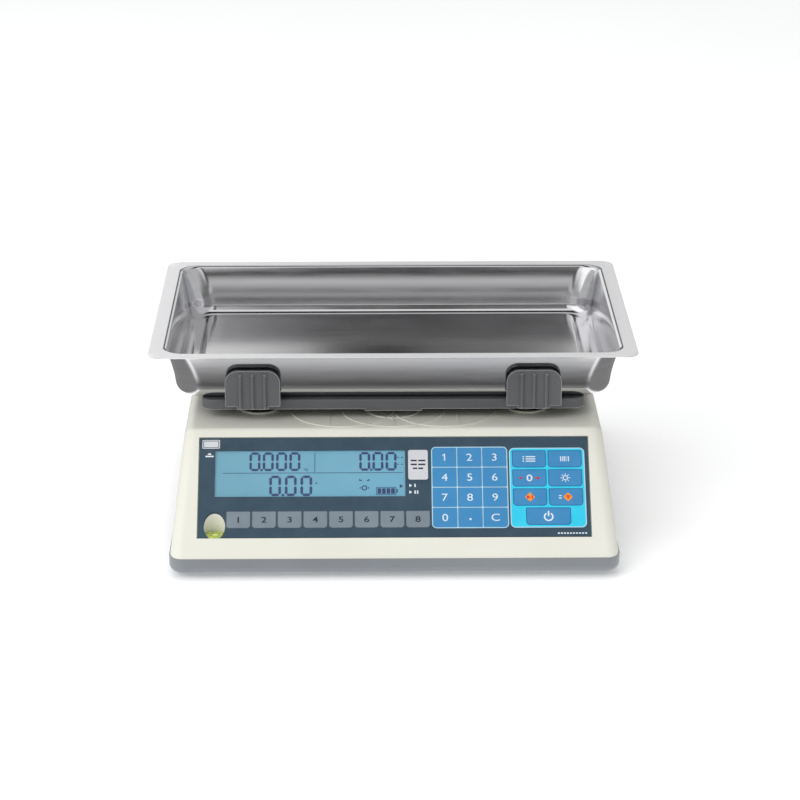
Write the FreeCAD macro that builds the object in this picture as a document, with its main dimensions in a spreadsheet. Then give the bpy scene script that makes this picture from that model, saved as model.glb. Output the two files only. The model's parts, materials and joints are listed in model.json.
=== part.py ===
import FreeCAD, Part
import math
import os
import re

import Sketcher
from FreeCAD import Placement, Rotation, Vector

# Retail bench scale with a lift-off stainless pan. Millimetres, +Z up, -Y is the operator's side.
# The origin lies on the table under the middle of the base.
DOC = FreeCAD.newDocument("bench_scale")
SHEET = DOC.addObject("Spreadsheet::Sheet", "dim")
SUBPARTS = []

# How close two heights are when an edge counts as lying at a level.
TOUCH = 0.01

DRIVING = {
    # casing
    "body_width": 340, "body_depth": 350, "parting_height": 16, "deck_height": 93,
    "side_draft": 6.8, "panel_tilt": 45, "rear_tilt": 78, "wall": 3,
    "corner_radius": 10, "deck_edge_radius": 8, "front_crease_radius": 5,
    "base_clearance": 3, "base_overhang": 0.8, "base_wall": 2.5, "base_corner": 12, "base_edge": 6,
    # fixings
    "fit_clearance": 0.05, "housing_screw_x": 125, "housing_screw_front": -158,
    "housing_screw_rear": 155, "screw_radius": 2, "screw_head_radius": 4, "screw_head_height": 2.4,
    "screw_head_gap": 0.3,
    "boss_radius": 6, "screw_length": 9, "pilot_depth": 10,
    # feet
    "foot_x": 135, "foot_y": 135, "foot_radius": 14, "foot_height": 5, "foot_recess_radius": 16,
    "foot_recess_top": 7.5, "foot_edge": 1.5, "bevel": 1, "foot_boss_radius": 18.5,
    "foot_boss_top": 10, "stud_radius": 4, "stud_top": 24, "nut_radius": 7.5, "nut_height": 6.5,
    # front panel, measured across (u), up the slope from the parting line (v) and outwards (w)
    "recess_depth": 1.6, "recess_margin": 0.6, "overlay_thickness": 1.2, "overlay_half": 149.2,
    "overlay_low": 17.5, "overlay_high": 101, "display_left": -137, "display_right": 8.6,
    "display_low": 51.5, "display_high": 90.5, "display_frame": 1.4, "opening_margin": 0.5,
    "window_thickness": 1, "glass_gap": 0.1, "glass_thickness": 4.3, "board_thickness": 1.6,
    "board_depth": 9, "board_low": 28, "board_margin": 4, "board_above": 2, "level_clear": 15,
    # keys
    "key_thickness": 0.65, "key_proud": 0.05, "key_gap": 0.12,
    "number_left": 29.5, "number_low": 25.6, "number_pitch_u": 19.2, "number_pitch_v": 16.8,
    "number_line": 0.9, "number_corner": 2.6,
    "function_left": 90.7, "function_low": 27.2, "function_pitch_u": 27.4, "function_pitch_v": 16,
    "function_width": 25.9, "function_height": 14.2, "power_width": 34, "function_corner": 2.8,
    "preset_left": -127.9, "preset_low": 25.2, "preset_pitch": 19.5, "preset_width": 18.7,
    "preset_height": 14.3, "preset_corner": 3, "small_corner": 0.8,
    # level
    "level_u": -136.5, "level_v": 28, "level_radius": 8, "level_wall": 2.5, "level_floor": 20,
    "vial_height": 8, "vial_gap": 0.3, "vial_edge": 0.6, "level_rim_gap": 0.2,
    # weighing mechanism
    "pan_centre_y": 39.6, "post_x": 105, "post_reach": 88.7, "post_radius": 8, "well_radius": 14,
    "well_rim": 2, "rim_height": 1.2, "chassis_bottom": 12, "chassis_thickness": 2,
    "chassis_left": -72, "chassis_right": 112, "chassis_front": -75, "chassis_rear": 155,
    "chassis_corner": 6, "chassis_screw_inset": 7,
    "cell_length": 130, "cell_width": 30, "cell_bottom": 22, "cell_height": 22, "cell_end": 30,
    "gauge_radius": 8, "gauge_offset": 12, "gauge_slot": 4, "frame_bottom": 54,
    "frame_height": 8, "arm_width": 16, "bolt_radius": 3, "bolt_head": 5, "bolt_head_height": 4,
    "bolt_grip": 9, "outer_bolt": 9, "inner_bolt": 21, "base_tap": 10, "top_tap": 12,
    "stop_x": 63, "stop_reach": 53.2, "stop_radius": 4, "overload_travel": 0.8,
    # platform and clips
    "platform_half": 149, "platform_reach": 114.6, "platform_bottom": 100.6, "platform_top": 108.4,
    "platform_plate": 3, "platform_wall": 2.5, "platform_corner": 10, "tab_half": 22,
    "tab_drop": 1.5, "tab_root": 1, "platform_edge": 1.2, "platform_rib": 2, "rib_rise": 1,
    "notch_depth": 5, "clip_x": 109, "clip_width": 42.6, "clip_bottom": 105, "clip_top": 134,
    "clip_thickness": 3, "clip_reach": 118.1, "clip_corner": 10, "clip_low_corner": 1.5,
    "clip_tongue": 12, "tongue_length": 10, "tongue_rise": 2,
    "grip_width": 2.4, "grip_depth": 2, "grip_pitch": 9.5, "grip_low": 103.6, "grip_high": 131,
    # pan
    "pan_width": 378.4, "pan_depth": 263.8, "rim_top": 148.3, "flange": 13, "sheet": 0.8,
    "pan_draft": 12, "pan_corner": 18, "pan_floor_radius": 12, "lip_radius": 3.4,
    "rim_corner": 11, "floor_step": 4, "step_margin": 19.5,
    "step_corner": 10,
    # deck pattern
    "ring_radius": 40, "ring_pitch": 40, "ring_y": -55, "rib_width": 1.2, "rib_height": 0.6,
    "rib_spacing": 50, "rib_root": 0.5,
    # rear display
    "rear_half": 75, "rear_low": 24, "rear_high": 64, "rear_recess": 1.2,
    "rear_glass_half": 68, "rear_glass_low": 32, "rear_glass_high": 58, "rear_film_depth": 0.2,
    "rear_glass_frame": 1.5, "rear_opening_margin": 2, "rear_board_inset": 3,
    # power
    "battery_left": -150, "battery_front": -30, "battery_length": 100, "battery_width": 70,
    "battery_height": 46, "battery_corner": 1.5, "door_margin": 6, "door_gap": 0.3,
    "door_corner": 0.6, "inlet_x": 80, "inlet_z": 30, "inlet_recess": 10, "inlet_floor": 168.5,
    "inlet_radius": 5.5, "inlet_bore": 2.9, "inlet_rim": 2, "inlet_length": 14,
    "inlet_bore_depth": 8, "inlet_pin_radius": 1, "main_board_left": 70, "main_board_front": -5,
    "main_board_length": 90, "main_board_bottom": 18, "standoff_inset": 4, "standoff_radius": 2.5,
    "chip_x": 12, "chip_y": 30, "chip_size": 14, "chip_height": 2, "connector_x": 8,
    "connector_y": 14, "connector_length": 22, "connector_width": 6, "connector_height": 8,
    "capacitor_x": 30, "capacitor_y": 16, "capacitor_height": 16, "capacitor_radius": 6,
}


def fill_sheet():
    for row, (alias, number) in enumerate(DRIVING.items(), start=1):
        SHEET.set(f"A{row}", alias)
        SHEET.set(f"B{row}", str(number))
        SHEET.setAlias(f"B{row}", alias)
    DOC.recompute()


fill_sheet()
ALIAS = re.compile(r"\b(" + "|".join(sorted(DRIVING, key=len, reverse=True)) + r")\b")


def value(text):
    """The number that an expression over the sheet's cells gives."""
    return float(SHEET.evalExpression(str(text)))


def bind(thing, name, text):
    """Tie a property to an expression over the sheet's cells."""
    thing.setExpression(name, ALIAS.sub(r"dim.\1", str(text)))


def place(thing, x, y, z, rotation=Rotation()):
    thing.Placement = Placement(Vector(value(x), value(y), value(z)), rotation)
    bind(thing, "Placement.Base.x", x)
    bind(thing, "Placement.Base.y", y)
    bind(thing, "Placement.Base.z", z)


def subpart(name, thing):
    """Name a finished piece; its label names its file."""
    thing.Label = name
    SUBPARTS.append(thing)
    return thing


# ---------------------------------------------------------------- primitives and booleans

def block(name, x, y, z):
    """A box between low and high expressions along each axis."""
    box = DOC.addObject("Part::Box", name)
    for side, (low, high) in zip(("Length", "Width", "Height"), (x, y, z)):
        bind(box, side, f"({high}) - ({low})")
    place(box, x[0], y[0], z[0])
    return box


def tilted_block(name, u, v, w, foot_y, tilt, facing):
    """A box on a sloping face: u across, v up the slope from the parting line, w outwards.
    facing is 1 where the face looks to -Y and -1 where it looks to +Y."""
    box = DOC.addObject("Part::Box", name)
    for side, (low, high) in zip(("Length", "Width", "Height"), (u, v, w)):
        bind(box, side, f"({high}) - ({low})")
    rise, run = f"sin({tilt})", f"cos({tilt})"
    sine, cosine = value(rise), value(run)
    across = Vector(facing, 0, 0)
    up_slope = Vector(0, facing * cosine, sine)
    outwards = Vector(0, -facing * sine, cosine)
    place(
        box,
        f"{facing} * ({u[0]})",
        f"({foot_y}) + {facing} * (({v[0]}) * {run} - ({w[0]}) * {rise})",
        f"parting_height + ({v[0]}) * {rise} + ({w[0]}) * {run}",
        Rotation(across, up_slope, outwards, "ZXY"),
    )
    return box


def panel_block(name, u, v, w):
    return tilted_block(name, u, v, w, "-body_depth / 2", "panel_tilt", 1)


def rear_block(name, u, v, w):
    return tilted_block(name, u, v, w, "body_depth / 2", "rear_tilt", -1)


def cylinder(name, x, y, z, radius):
    """An upright cylinder from z[0] to z[1]."""
    rod = DOC.addObject("Part::Cylinder", name)
    bind(rod, "Radius", radius)
    bind(rod, "Height", f"({z[1]}) - ({z[0]})")
    place(rod, x, y, z[0])
    return rod


def depth_cylinder(name, x, y, z, radius):
    """A cylinder along +Y from y[0] to y[1]."""
    rod = DOC.addObject("Part::Cylinder", name)
    bind(rod, "Radius", radius)
    bind(rod, "Height", f"({y[1]}) - ({y[0]})")
    place(rod, x, y[0], z, Rotation(Vector(1, 0, 0), -90))
    return rod


def tapered(name, z, half_x, low_y, high_y):
    """A block with different bottom and top outlines; each of half_x, low_y, high_y is (bottom, top)."""
    wedge = DOC.addObject("Part::Wedge", name)
    bind(wedge, "Ymin", "0")
    bind(wedge, "Ymax", f"({z[1]}) - ({z[0]})")
    for prefix, level in (("X", 0), ("X2", 1)):
        bind(wedge, prefix + "min", f"-({half_x[level]})")
        bind(wedge, prefix + "max", half_x[level])
    for prefix, level in (("Z", 0), ("Z2", 1)):
        bind(wedge, prefix + "min", f"-({high_y[level]})")
        bind(wedge, prefix + "max", f"-({low_y[level]})")
    place(wedge, "0", "0", z[0], Rotation(Vector(1, 0, 0), 90))
    return wedge


def cut(name, base, *tools):
    result = DOC.addObject("Part::Cut", name)
    result.Base = base
    result.Tool = tools[0] if len(tools) == 1 else join(name + "_tools", *tools)
    return result


def join(name, *pieces):
    result = DOC.addObject("Part::MultiFuse", name)
    result.Shapes = list(pieces)
    return result


def common(name, first, second):
    result = DOC.addObject("Part::Common", name)
    result.Base = first
    result.Tool = second
    return result


def rounded(name, base, rule):
    """Fillet each edge for which rule(middle, direction) gives a radius; both are in the base's own frame."""
    DOC.recompute()
    to_own = base.Placement.inverse()
    edges = []
    for number, edge in enumerate(base.Shape.Edges, start=1):
        middle = edge.valueAt((edge.FirstParameter + edge.LastParameter) / 2)
        direction = edge.tangentAt(edge.FirstParameter)
        radius = rule(to_own.multVec(middle), to_own.Rotation.multVec(direction))
        if radius:
            edges.append((number, radius, radius))
    fillet = DOC.addObject("Part::Fillet", name)
    fillet.Base = base
    fillet.Edges = edges
    return fillet


def along(direction, axis, slack=0.01):
    return abs(abs(direction[axis]) - direction.Length) < slack


def upright_edges(radius):
    """Rule that rounds a box's edges along its own Z."""
    size = value(radius)
    return lambda middle, direction: size if along(direction, 2) else 0


# ---------------------------------------------------------------- part design bodies

def profile_sketch(body, plane, outline, name):
    """A closed outline of straight lines; each corner is held to the origin by bound distances."""
    sketch = body.newObject("Sketcher::SketchObject", name)
    origin_plane = [item for item in body.Origin.OriginFeatures if item.Role == plane][0]
    sketch.AttachmentSupport = (origin_plane, [""])
    sketch.MapMode = "FlatFace"
    corners = [(value(a), value(b)) for a, b in outline]
    for number, start in enumerate(corners):
        end = corners[(number + 1) % len(corners)]
        sketch.addGeometry(Part.LineSegment(Vector(*start, 0), Vector(*end, 0)), False)
    for number in range(len(corners)):
        following = (number + 1) % len(corners)
        sketch.addConstraint(Sketcher.Constraint("Coincident", number, 2, following, 1))
    for number, ((across, up), texts) in enumerate(zip(corners, outline)):
        for kind, axis, size, text in (("DistanceX", -2, across, texts[0]), ("DistanceY", -1, up, texts[1])):
            if abs(size) < 1e-9:
                sketch.addConstraint(Sketcher.Constraint("PointOnObject", number, 1, axis))
                continue
            held = sketch.addConstraint(Sketcher.Constraint(kind, -1, 1, number, 1, size))
            bind(sketch, f"Constraints[{held}]", text)
    return sketch


def turned(name, outline, x, y):
    """A body of revolution about the upright axis at x, y; the outline holds (radius, height) corners."""
    body = DOC.addObject("PartDesign::Body", name)
    sketch = profile_sketch(body, "XZ_Plane", outline, name + "_profile")
    revolution = body.newObject("PartDesign::Revolution", name + "_turn")
    revolution.Profile = sketch
    revolution.ReferenceAxis = (sketch, ["V_Axis"])
    revolution.Angle = 360
    body.Tip = revolution
    place(body, x, y, "0")
    return body


# ---------------------------------------------------------------- casing

FRONT = "-body_depth / 2"
REAR = "body_depth / 2"
CASE_RISE = "(deck_height - parting_height)"


def casing_block(name, inset):
    """The upper housing's outer form, or the same form stepped in by a wall thickness."""
    top = f"deck_height - {inset}"
    rise = f"({CASE_RISE} - {inset})"
    half = f"(body_width / 2 - {inset} / cos(side_draft))"
    front = f"({FRONT} + {inset} / sin(panel_tilt))"
    rear = f"({REAR} - {inset} / sin(rear_tilt))"
    form = tapered(
        name,
        ("parting_height", top),
        (half, f"{half} - {rise} * tan(side_draft)"),
        (front, f"{front} + {rise} / tan(panel_tilt)"),
        (rear, f"{rear} - {rise} / tan(rear_tilt)"),
    )
    corner = value(f"corner_radius - {inset}")
    crease = value(f"front_crease_radius - {inset} / 2")
    deck = value(f"deck_edge_radius - {inset}")
    height = value(rise)

    def rule(middle, direction):
        if abs(direction.y) > 0.1:
            return corner
        if middle.y < height - TOUCH:
            return 0
        if along(direction, 0):
            return crease if middle.z > 0 else deck
        return deck

    return rounded(name + "_rounded", form, rule)


def screw_places():
    for side in (-1, 1):
        for y in ("housing_screw_front", "housing_screw_rear"):
            yield f"{side} * housing_screw_x", y


def deck_places():
    """The four corners where the posts come up through the deck."""
    for side in (-1, 1):
        for way in (-1, 1):
            yield f"{side} * post_x", f"pan_centre_y + {way} * post_reach"


def deck_pattern():
    """Low moulded rings and ribs on the deck."""
    z = ("deck_height - rib_root", "deck_height + rib_height")
    lines = []
    for number, (offset, radius) in enumerate(
        [("-ring_pitch", "ring_radius"), ("0", "ring_radius"), ("ring_pitch", "ring_radius"),
         ("0", "ring_radius / 2")]
    ):
        outer = cylinder(f"ring_{number}_outer", offset, "ring_y", z, f"{radius} + rib_width / 2")
        inner = cylinder(f"ring_{number}_inner", offset, "ring_y", z, f"{radius} - rib_width / 2")
        lines.append(cut(f"ring_{number}", outer, inner))
    for side in (-1, 0, 1):
        middle = f"{side} * rib_spacing"
        lines.append(
            block(
                f"deck_rib_{side + 1}",
                (f"{middle} - rib_width / 2", f"{middle} + rib_width / 2"),
                (f"{FRONT} + {CASE_RISE} + front_crease_radius", "ring_y + ring_radius"),
                z,
            )
        )
    return lines


def level_y():
    return f"{FRONT} + level_v * cos(panel_tilt)"


def make_upper_housing():
    outer = casing_block("casing_outer", "0")
    inner = casing_block("casing_inner", "wall")
    shell = cut("casing_shell", outer, inner)
    bosses = [
        cylinder(f"screw_boss_{n}", x, y, ("parting_height", "deck_height"), "boss_radius")
        for n, (x, y) in enumerate(screw_places())
    ]
    bosses.append(
        cylinder("level_tube", "level_u", level_y(), ("level_floor - level_wall", "deck_height"),
                 "level_radius + level_wall")
    )
    bosses.append(
        block("inlet_boss", ("inlet_x - inlet_recess - wall", "inlet_x + inlet_recess + wall"),
              ("inlet_floor - wall", REAR),
              ("inlet_z - inlet_recess - wall", "inlet_z + inlet_recess + wall"))
    )
    trimmed = common("inside_bosses", join("bosses", *bosses), outer)
    rims = [
        cylinder(f"well_rim_{n}", x, y, ("deck_height - wall", "deck_height + rim_height"),
                 "well_radius + well_rim")
        for n, (x, y) in enumerate(deck_places())
    ]
    solid = join("casing_solid", shell, trimmed, *rims, *deck_pattern())
    openings = [
        cylinder(f"well_{n}", x, y, ("deck_height - 2 * wall", "deck_height + 2 * wall"), "well_radius")
        for n, (x, y) in enumerate(deck_places())
    ]
    openings += [
        cylinder(f"pilot_{n}", x, y, ("parting_height", "parting_height + pilot_depth"),
                 "screw_radius + fit_clearance")
        for n, (x, y) in enumerate(screw_places())
    ]
    openings.append(
        panel_block("overlay_recess",
                    ("-overlay_half - recess_margin", "overlay_half + recess_margin"),
                    ("overlay_low - recess_margin", "overlay_high + recess_margin"),
                    ("-recess_depth", "2 * wall"))
    )
    frame = "(display_frame + opening_margin)"
    openings.append(
        panel_block("display_opening",
                    (f"display_left - {frame}", f"display_right + {frame}"),
                    (f"display_low - {frame}", f"display_high + {frame}"),
                    ("-2 * wall", "0"))
    )
    openings.append(
        cylinder("level_bore", "level_u", level_y(), ("level_floor", "deck_height"), "level_radius")
    )
    openings.append(
        rear_block("rear_recess_cut",
                   ("-rear_half - recess_margin", "rear_half + recess_margin"),
                   ("rear_low - recess_margin", "rear_high + recess_margin"),
                   ("-rear_recess", "wall"))
    )
    openings.append(
        rear_block("rear_opening",
                   ("-rear_glass_half - rear_opening_margin", "rear_glass_half + rear_opening_margin"),
                   ("rear_glass_low - rear_opening_margin", "rear_glass_high + rear_opening_margin"),
                   ("-2 * wall", "0"))
    )
    openings.append(
        block("inlet_pocket", ("inlet_x - inlet_recess", "inlet_x + inlet_recess"),
              ("inlet_floor", f"{REAR} + wall"),
              ("inlet_z - inlet_recess", "inlet_z + inlet_recess"))
    )
    openings.append(
        depth_cylinder("inlet_hole", "inlet_x", ("inlet_floor - 2 * wall", REAR), "inlet_z",
                       "inlet_radius + fit_clearance")
    )
    return subpart("upper_housing", cut("upper_housing_cut", solid, *openings))


def foot_places():
    for end, way in (("front", -1), ("rear", 1)):
        for hand, side in (("left", -1), ("right", 1)):
            yield f"{end}_{hand}", f"{side} * foot_x", f"{way} * foot_y"


def chassis_screw_places():
    inset = "chassis_screw_inset"
    for x in (f"chassis_left + {inset}", f"chassis_right - {inset}"):
        for y in (f"chassis_front + {inset}", f"chassis_rear - {inset}"):
            yield x, y


def door_outline(gap):
    x = (f"battery_left - door_margin + {gap}",
         f"battery_left + battery_width + door_margin - {gap}")
    y = (f"battery_front - door_margin + {gap}",
         f"battery_front + battery_length + door_margin - {gap}")
    return x, y


def make_base_shell():
    half_x = "(body_width / 2 + base_overhang)"
    half_y = "(body_depth / 2 + base_overhang)"
    floor = "base_clearance + base_wall"
    tray = block("base_tray", (f"-{half_x}", half_x), (f"-{half_y}", half_y),
                 ("base_clearance", "parting_height"))
    tray = rounded("base_tray_corners", tray, upright_edges("base_corner"))
    edge = value("base_edge")
    low = value("base_clearance")
    tray = rounded("base_tray_edges", tray, lambda middle, _: edge if middle.z < low + TOUCH else 0)
    cavity = block("base_cavity", (f"-{half_x} + base_wall", f"{half_x} - base_wall"),
                   (f"-{half_y} + base_wall", f"{half_y} - base_wall"), (floor, "parting_height + base_wall"))
    cavity = rounded("base_cavity_corners", cavity, upright_edges("base_corner - base_wall"))
    inner_edge = value("base_edge - base_wall")
    inner_low = value(floor)
    cavity = rounded("base_cavity_edges", cavity,
                     lambda middle, _: inner_edge if middle.z < inner_low + TOUCH else 0)
    bosses = [
        cylinder(f"base_boss_{n}", x, y, ("base_clearance", "parting_height"), "boss_radius")
        for n, (x, y) in enumerate(screw_places())
    ]
    bosses += [
        cylinder(f"chassis_boss_{n}", x, y, ("base_clearance", "chassis_bottom"), "boss_radius")
        for n, (x, y) in enumerate(chassis_screw_places())
    ]
    bosses += [
        cylinder(f"{name}_boss", x, y, ("base_clearance", "foot_boss_top"), "foot_boss_radius")
        for name, x, y in foot_places()
    ]
    solid = join("base_solid", cut("base_shell_wall", tray, cavity), *bosses)
    openings = []
    for n, (x, y) in enumerate(screw_places()):
        openings.append(cylinder(f"base_hole_{n}", x, y, ("0", "parting_height"),
                                 "screw_radius + fit_clearance"))
        openings.append(cylinder(f"base_counterbore_{n}", x, y, ("0", floor),
                                 "screw_head_radius + screw_head_gap"))
    for n, (x, y) in enumerate(chassis_screw_places()):
        openings.append(cylinder(f"chassis_pilot_{n}", x, y, (floor, "chassis_bottom"),
                                 "screw_radius + fit_clearance"))
    for name, x, y in foot_places():
        openings.append(cylinder(f"{name}_recess", x, y, ("0", "foot_recess_top"),
                                 "foot_recess_radius"))
        openings.append(cylinder(f"{name}_stud_hole", x, y, ("0", "parting_height"),
                                 "stud_radius + fit_clearance"))
    door_x, door_y = door_outline("0")
    openings.append(block("door_opening", door_x, door_y, ("0", floor)))
    return subpart("base_shell", cut("base_shell_cut", solid, *openings))


def make_screws():
    """Screws that close the casing from below, and those that hold the chassis plate."""
    casing = []
    for n, (x, y) in enumerate(screw_places()):
        head = ("base_clearance + base_wall - screw_head_height", "base_clearance + base_wall")
        casing.append(cylinder(f"casing_screw_{n}", x, y,
                               ("base_clearance + base_wall", "parting_height + screw_length"),
                               "screw_radius"))
        casing.append(cylinder(f"casing_screw_head_{n}", x, y, head, "screw_head_radius"))
    subpart("housing_screws", join("housing_screw_set", *casing))
    plate = []
    top = "chassis_bottom + chassis_thickness"
    for n, (x, y) in enumerate(chassis_screw_places()):
        plate.append(cylinder(f"plate_screw_{n}", x, y, ("base_clearance + base_wall + screw_head_gap", top),
                              "screw_radius"))
        plate.append(cylinder(f"plate_screw_head_{n}", x, y, (top, f"{top} + screw_head_height"),
                              "screw_head_radius"))
    subpart("chassis_screws", join("chassis_screw_set", *plate))


def make_feet():
    for name, x, y in foot_places():
        outline = [
            ("0", "0"), ("foot_radius - foot_edge", "0"), ("foot_radius", "foot_edge"),
            ("foot_radius", "foot_height - bevel"), ("foot_radius - bevel", "foot_height"),
            ("stud_radius", "foot_height"), ("stud_radius", "stud_top - bevel"),
            ("stud_radius - bevel", "stud_top"), ("0", "stud_top"),
        ]
        subpart(f"foot_{name}", turned(f"foot_{name}_body", outline, x, y))
    nuts = []
    for name, x, y in foot_places():
        nut = DOC.addObject("Part::Prism", f"{name}_hex")
        nut.Polygon = 6
        bind(nut, "Circumradius", "nut_radius")
        bind(nut, "Height", "nut_height")
        place(nut, x, y, "foot_boss_top")
        bore = cylinder(f"{name}_nut_bore", x, y, ("foot_boss_top", "foot_boss_top + nut_height"),
                        "stud_radius + fit_clearance")
        nuts.append(cut(f"{name}_nut", nut, bore))
    subpart("foot_nuts", join("foot_nut_set", *nuts))


# ---------------------------------------------------------------- front panel

def key_plan():
    """Every key as (name, left, low, width, height, corner radii): lower left, lower right, upper
    left, upper right."""
    small = "small_corner"
    rows = [("7", "8", "9"), ("4", "5", "6"), ("1", "2", "3")]
    rows = [("0", "point", "clear")] + rows
    last_row, last_column = len(rows) - 1, len(rows[0]) - 1
    for row, names in enumerate(rows):
        for column, name in enumerate(names):
            big = "number_corner"
            corners = (
                big if (row, column) == (0, 0) else small,
                big if (row, column) == (0, last_column) else small,
                big if (row, column) == (last_row, 0) else small,
                big if (row, column) == (last_row, last_column) else small,
            )
            yield (f"key_{name}", f"number_left + {column} * number_pitch_u",
                   f"number_low + {row} * number_pitch_v", "number_pitch_u - number_line",
                   "number_pitch_v - number_line", corners)
    shaped = ("function_corner", "function_corner", small, small)
    yield ("key_power", "function_left + (function_pitch_u + function_width - power_width) / 2",
           "function_low", "power_width", "function_height", shaped)
    for row, names in enumerate([("function", "tare"), ("zero", "backlight"), ("lookup", "label")]):
        for column, name in enumerate(names):
            yield (f"key_{name}", f"function_left + {column} * function_pitch_u",
                   f"function_low + {row + 1} * function_pitch_v", "function_width",
                   "function_height", shaped)
    for number in range(8):
        yield (f"preset_key_{number + 1}", f"preset_left + {number} * preset_pitch", "preset_low",
               "preset_width", "preset_height",
               ("preset_corner", "preset_corner", small, small))


def key_pad(name, key, margin, w):
    """A key's outline, grown all round by a margin, between two heights above the casing face."""
    _, left, low, width, height, corners = key
    pad = panel_block(name + "_block", (f"{left} - {margin}", f"{left} + {width} + {margin}"),
                      (f"{low} - {margin}", f"{low} + {height} + {margin}"), w)
    lower_left, lower_right, upper_left, upper_right = [value(f"{c} + {margin}") for c in corners]
    middle_u, middle_v = value(f"({width}) / 2"), value(f"({height}) / 2")

    def rule(middle, direction):
        if not along(direction, 2):
            return 0
        if middle.y < middle_v:
            return lower_left if middle.x < middle_u else lower_right
        return upper_left if middle.x < middle_u else upper_right

    return rounded(name + "_outline", pad, rule)


def make_keys():
    for key in key_plan():
        bottom = "(overlay_thickness - recess_depth + key_proud - key_thickness)"
        pad = key_pad(key[0], key, "0", (bottom, f"{bottom} + key_thickness"))
        subpart(key[0], pad)


def make_overlay():
    sheet = panel_block("overlay_sheet", ("-overlay_half", "overlay_half"),
                        ("overlay_low", "overlay_high"),
                        ("-recess_depth", "overlay_thickness - recess_depth"))
    through = ("-2 * recess_depth", "recess_depth")
    windows = [key_pad(key[0] + "_window", key, "key_gap", through) for key in key_plan()]
    windows.append(
        panel_block("display_cutout", ("display_left", "display_right"),
                    ("display_low", "display_high"), through)
    )
    windows.append(
        cylinder("level_cutout", "level_u", level_y(), ("level_floor", "deck_height"),
                 "level_radius + level_rim_gap")
    )
    subpart("keypad_overlay", cut("keypad_overlay_cut", sheet, *windows))


def make_front_display():
    subpart("display_window", panel_block(
        "display_window_plate", ("display_left", "display_right"), ("display_low", "display_high"),
        ("-recess_depth", "-recess_depth + window_thickness")))
    subpart("front_lcd", panel_block(
        "front_lcd_glass", ("display_left - display_frame", "display_right + display_frame"),
        ("display_low - display_frame", "display_high + display_frame"),
        ("-recess_depth - glass_gap - glass_thickness", "-recess_depth - glass_gap")))
    subpart("display_board", panel_block(
        "display_board_plate", ("level_u + level_clear", "overlay_half - board_margin"),
        ("board_low", "display_high + board_above"),
        ("-board_depth", "-board_depth + board_thickness")))


def make_level_vial():
    radius = "level_radius - vial_gap"
    outline = [
        ("0", "level_floor"), (radius, "level_floor"),
        (radius, "level_floor + vial_height - vial_edge"),
        (f"{radius} - vial_edge", "level_floor + vial_height"), ("0", "level_floor + vial_height"),
    ]
    subpart("level_vial", turned("level_vial_body", outline, "level_u", level_y()))


# ---------------------------------------------------------------- rear display and power

def make_rear_display():
    film = rear_block("rear_film", ("-rear_half", "rear_half"), ("rear_low", "rear_high"),
                      ("-rear_recess", "-rear_film_depth"))
    window = rear_block("rear_film_window", ("-rear_glass_half", "rear_glass_half"),
                        ("rear_glass_low", "rear_glass_high"), ("-2 * wall", "wall"))
    subpart("rear_overlay", cut("rear_overlay_cut", film, window))
    subpart("rear_lcd", rear_block(
        "rear_lcd_glass", ("-rear_glass_half - rear_glass_frame", "rear_glass_half + rear_glass_frame"),
        ("rear_glass_low - rear_glass_frame", "rear_glass_high + rear_glass_frame"),
        ("-rear_recess - glass_gap - glass_thickness", "-rear_recess - glass_gap")))
    subpart("rear_display_board", rear_block(
        "rear_board_plate", ("-rear_half + rear_board_inset", "rear_half - rear_board_inset"),
        ("rear_low", "rear_high - rear_board_inset"),
        ("-board_depth", "-board_depth + board_thickness")))


def make_inlet():
    nut = depth_cylinder("inlet_nut", "inlet_x", ("inlet_floor", "inlet_floor + inlet_rim"), "inlet_z",
                         "inlet_radius + inlet_rim")
    barrel = depth_cylinder("inlet_barrel", "inlet_x",
                            ("inlet_floor - inlet_length", "inlet_floor + inlet_rim + bevel"),
                            "inlet_z", "inlet_radius")
    bore = depth_cylinder("inlet_bore_cut", "inlet_x",
                          ("inlet_floor - inlet_bore_depth", "inlet_floor + 2 * inlet_rim"),
                          "inlet_z", "inlet_bore")
    pin = depth_cylinder("inlet_pin", "inlet_x",
                         ("inlet_floor - inlet_bore_depth - bevel", "inlet_floor + inlet_rim"),
                         "inlet_z", "inlet_pin_radius")
    socket = cut("inlet_socket", join("inlet_solid", nut, barrel), bore)
    subpart("dc_inlet", join("dc_inlet_set", socket, pin))


def make_battery():
    floor = "base_clearance + base_wall"
    case = block("battery_case", ("battery_left", "battery_left + battery_width"),
                 ("battery_front", "battery_front + battery_length"),
                 (floor, f"{floor} + battery_height"))
    subpart("battery", rounded("battery_rounded", case, upright_edges("battery_corner")))
    door_x, door_y = door_outline("door_gap")
    subpart("battery_door", rounded("battery_door_rounded",
                                    block("battery_door_plate", door_x, door_y,
                                          ("base_clearance", floor)),
                                    upright_edges("door_corner")))


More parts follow.
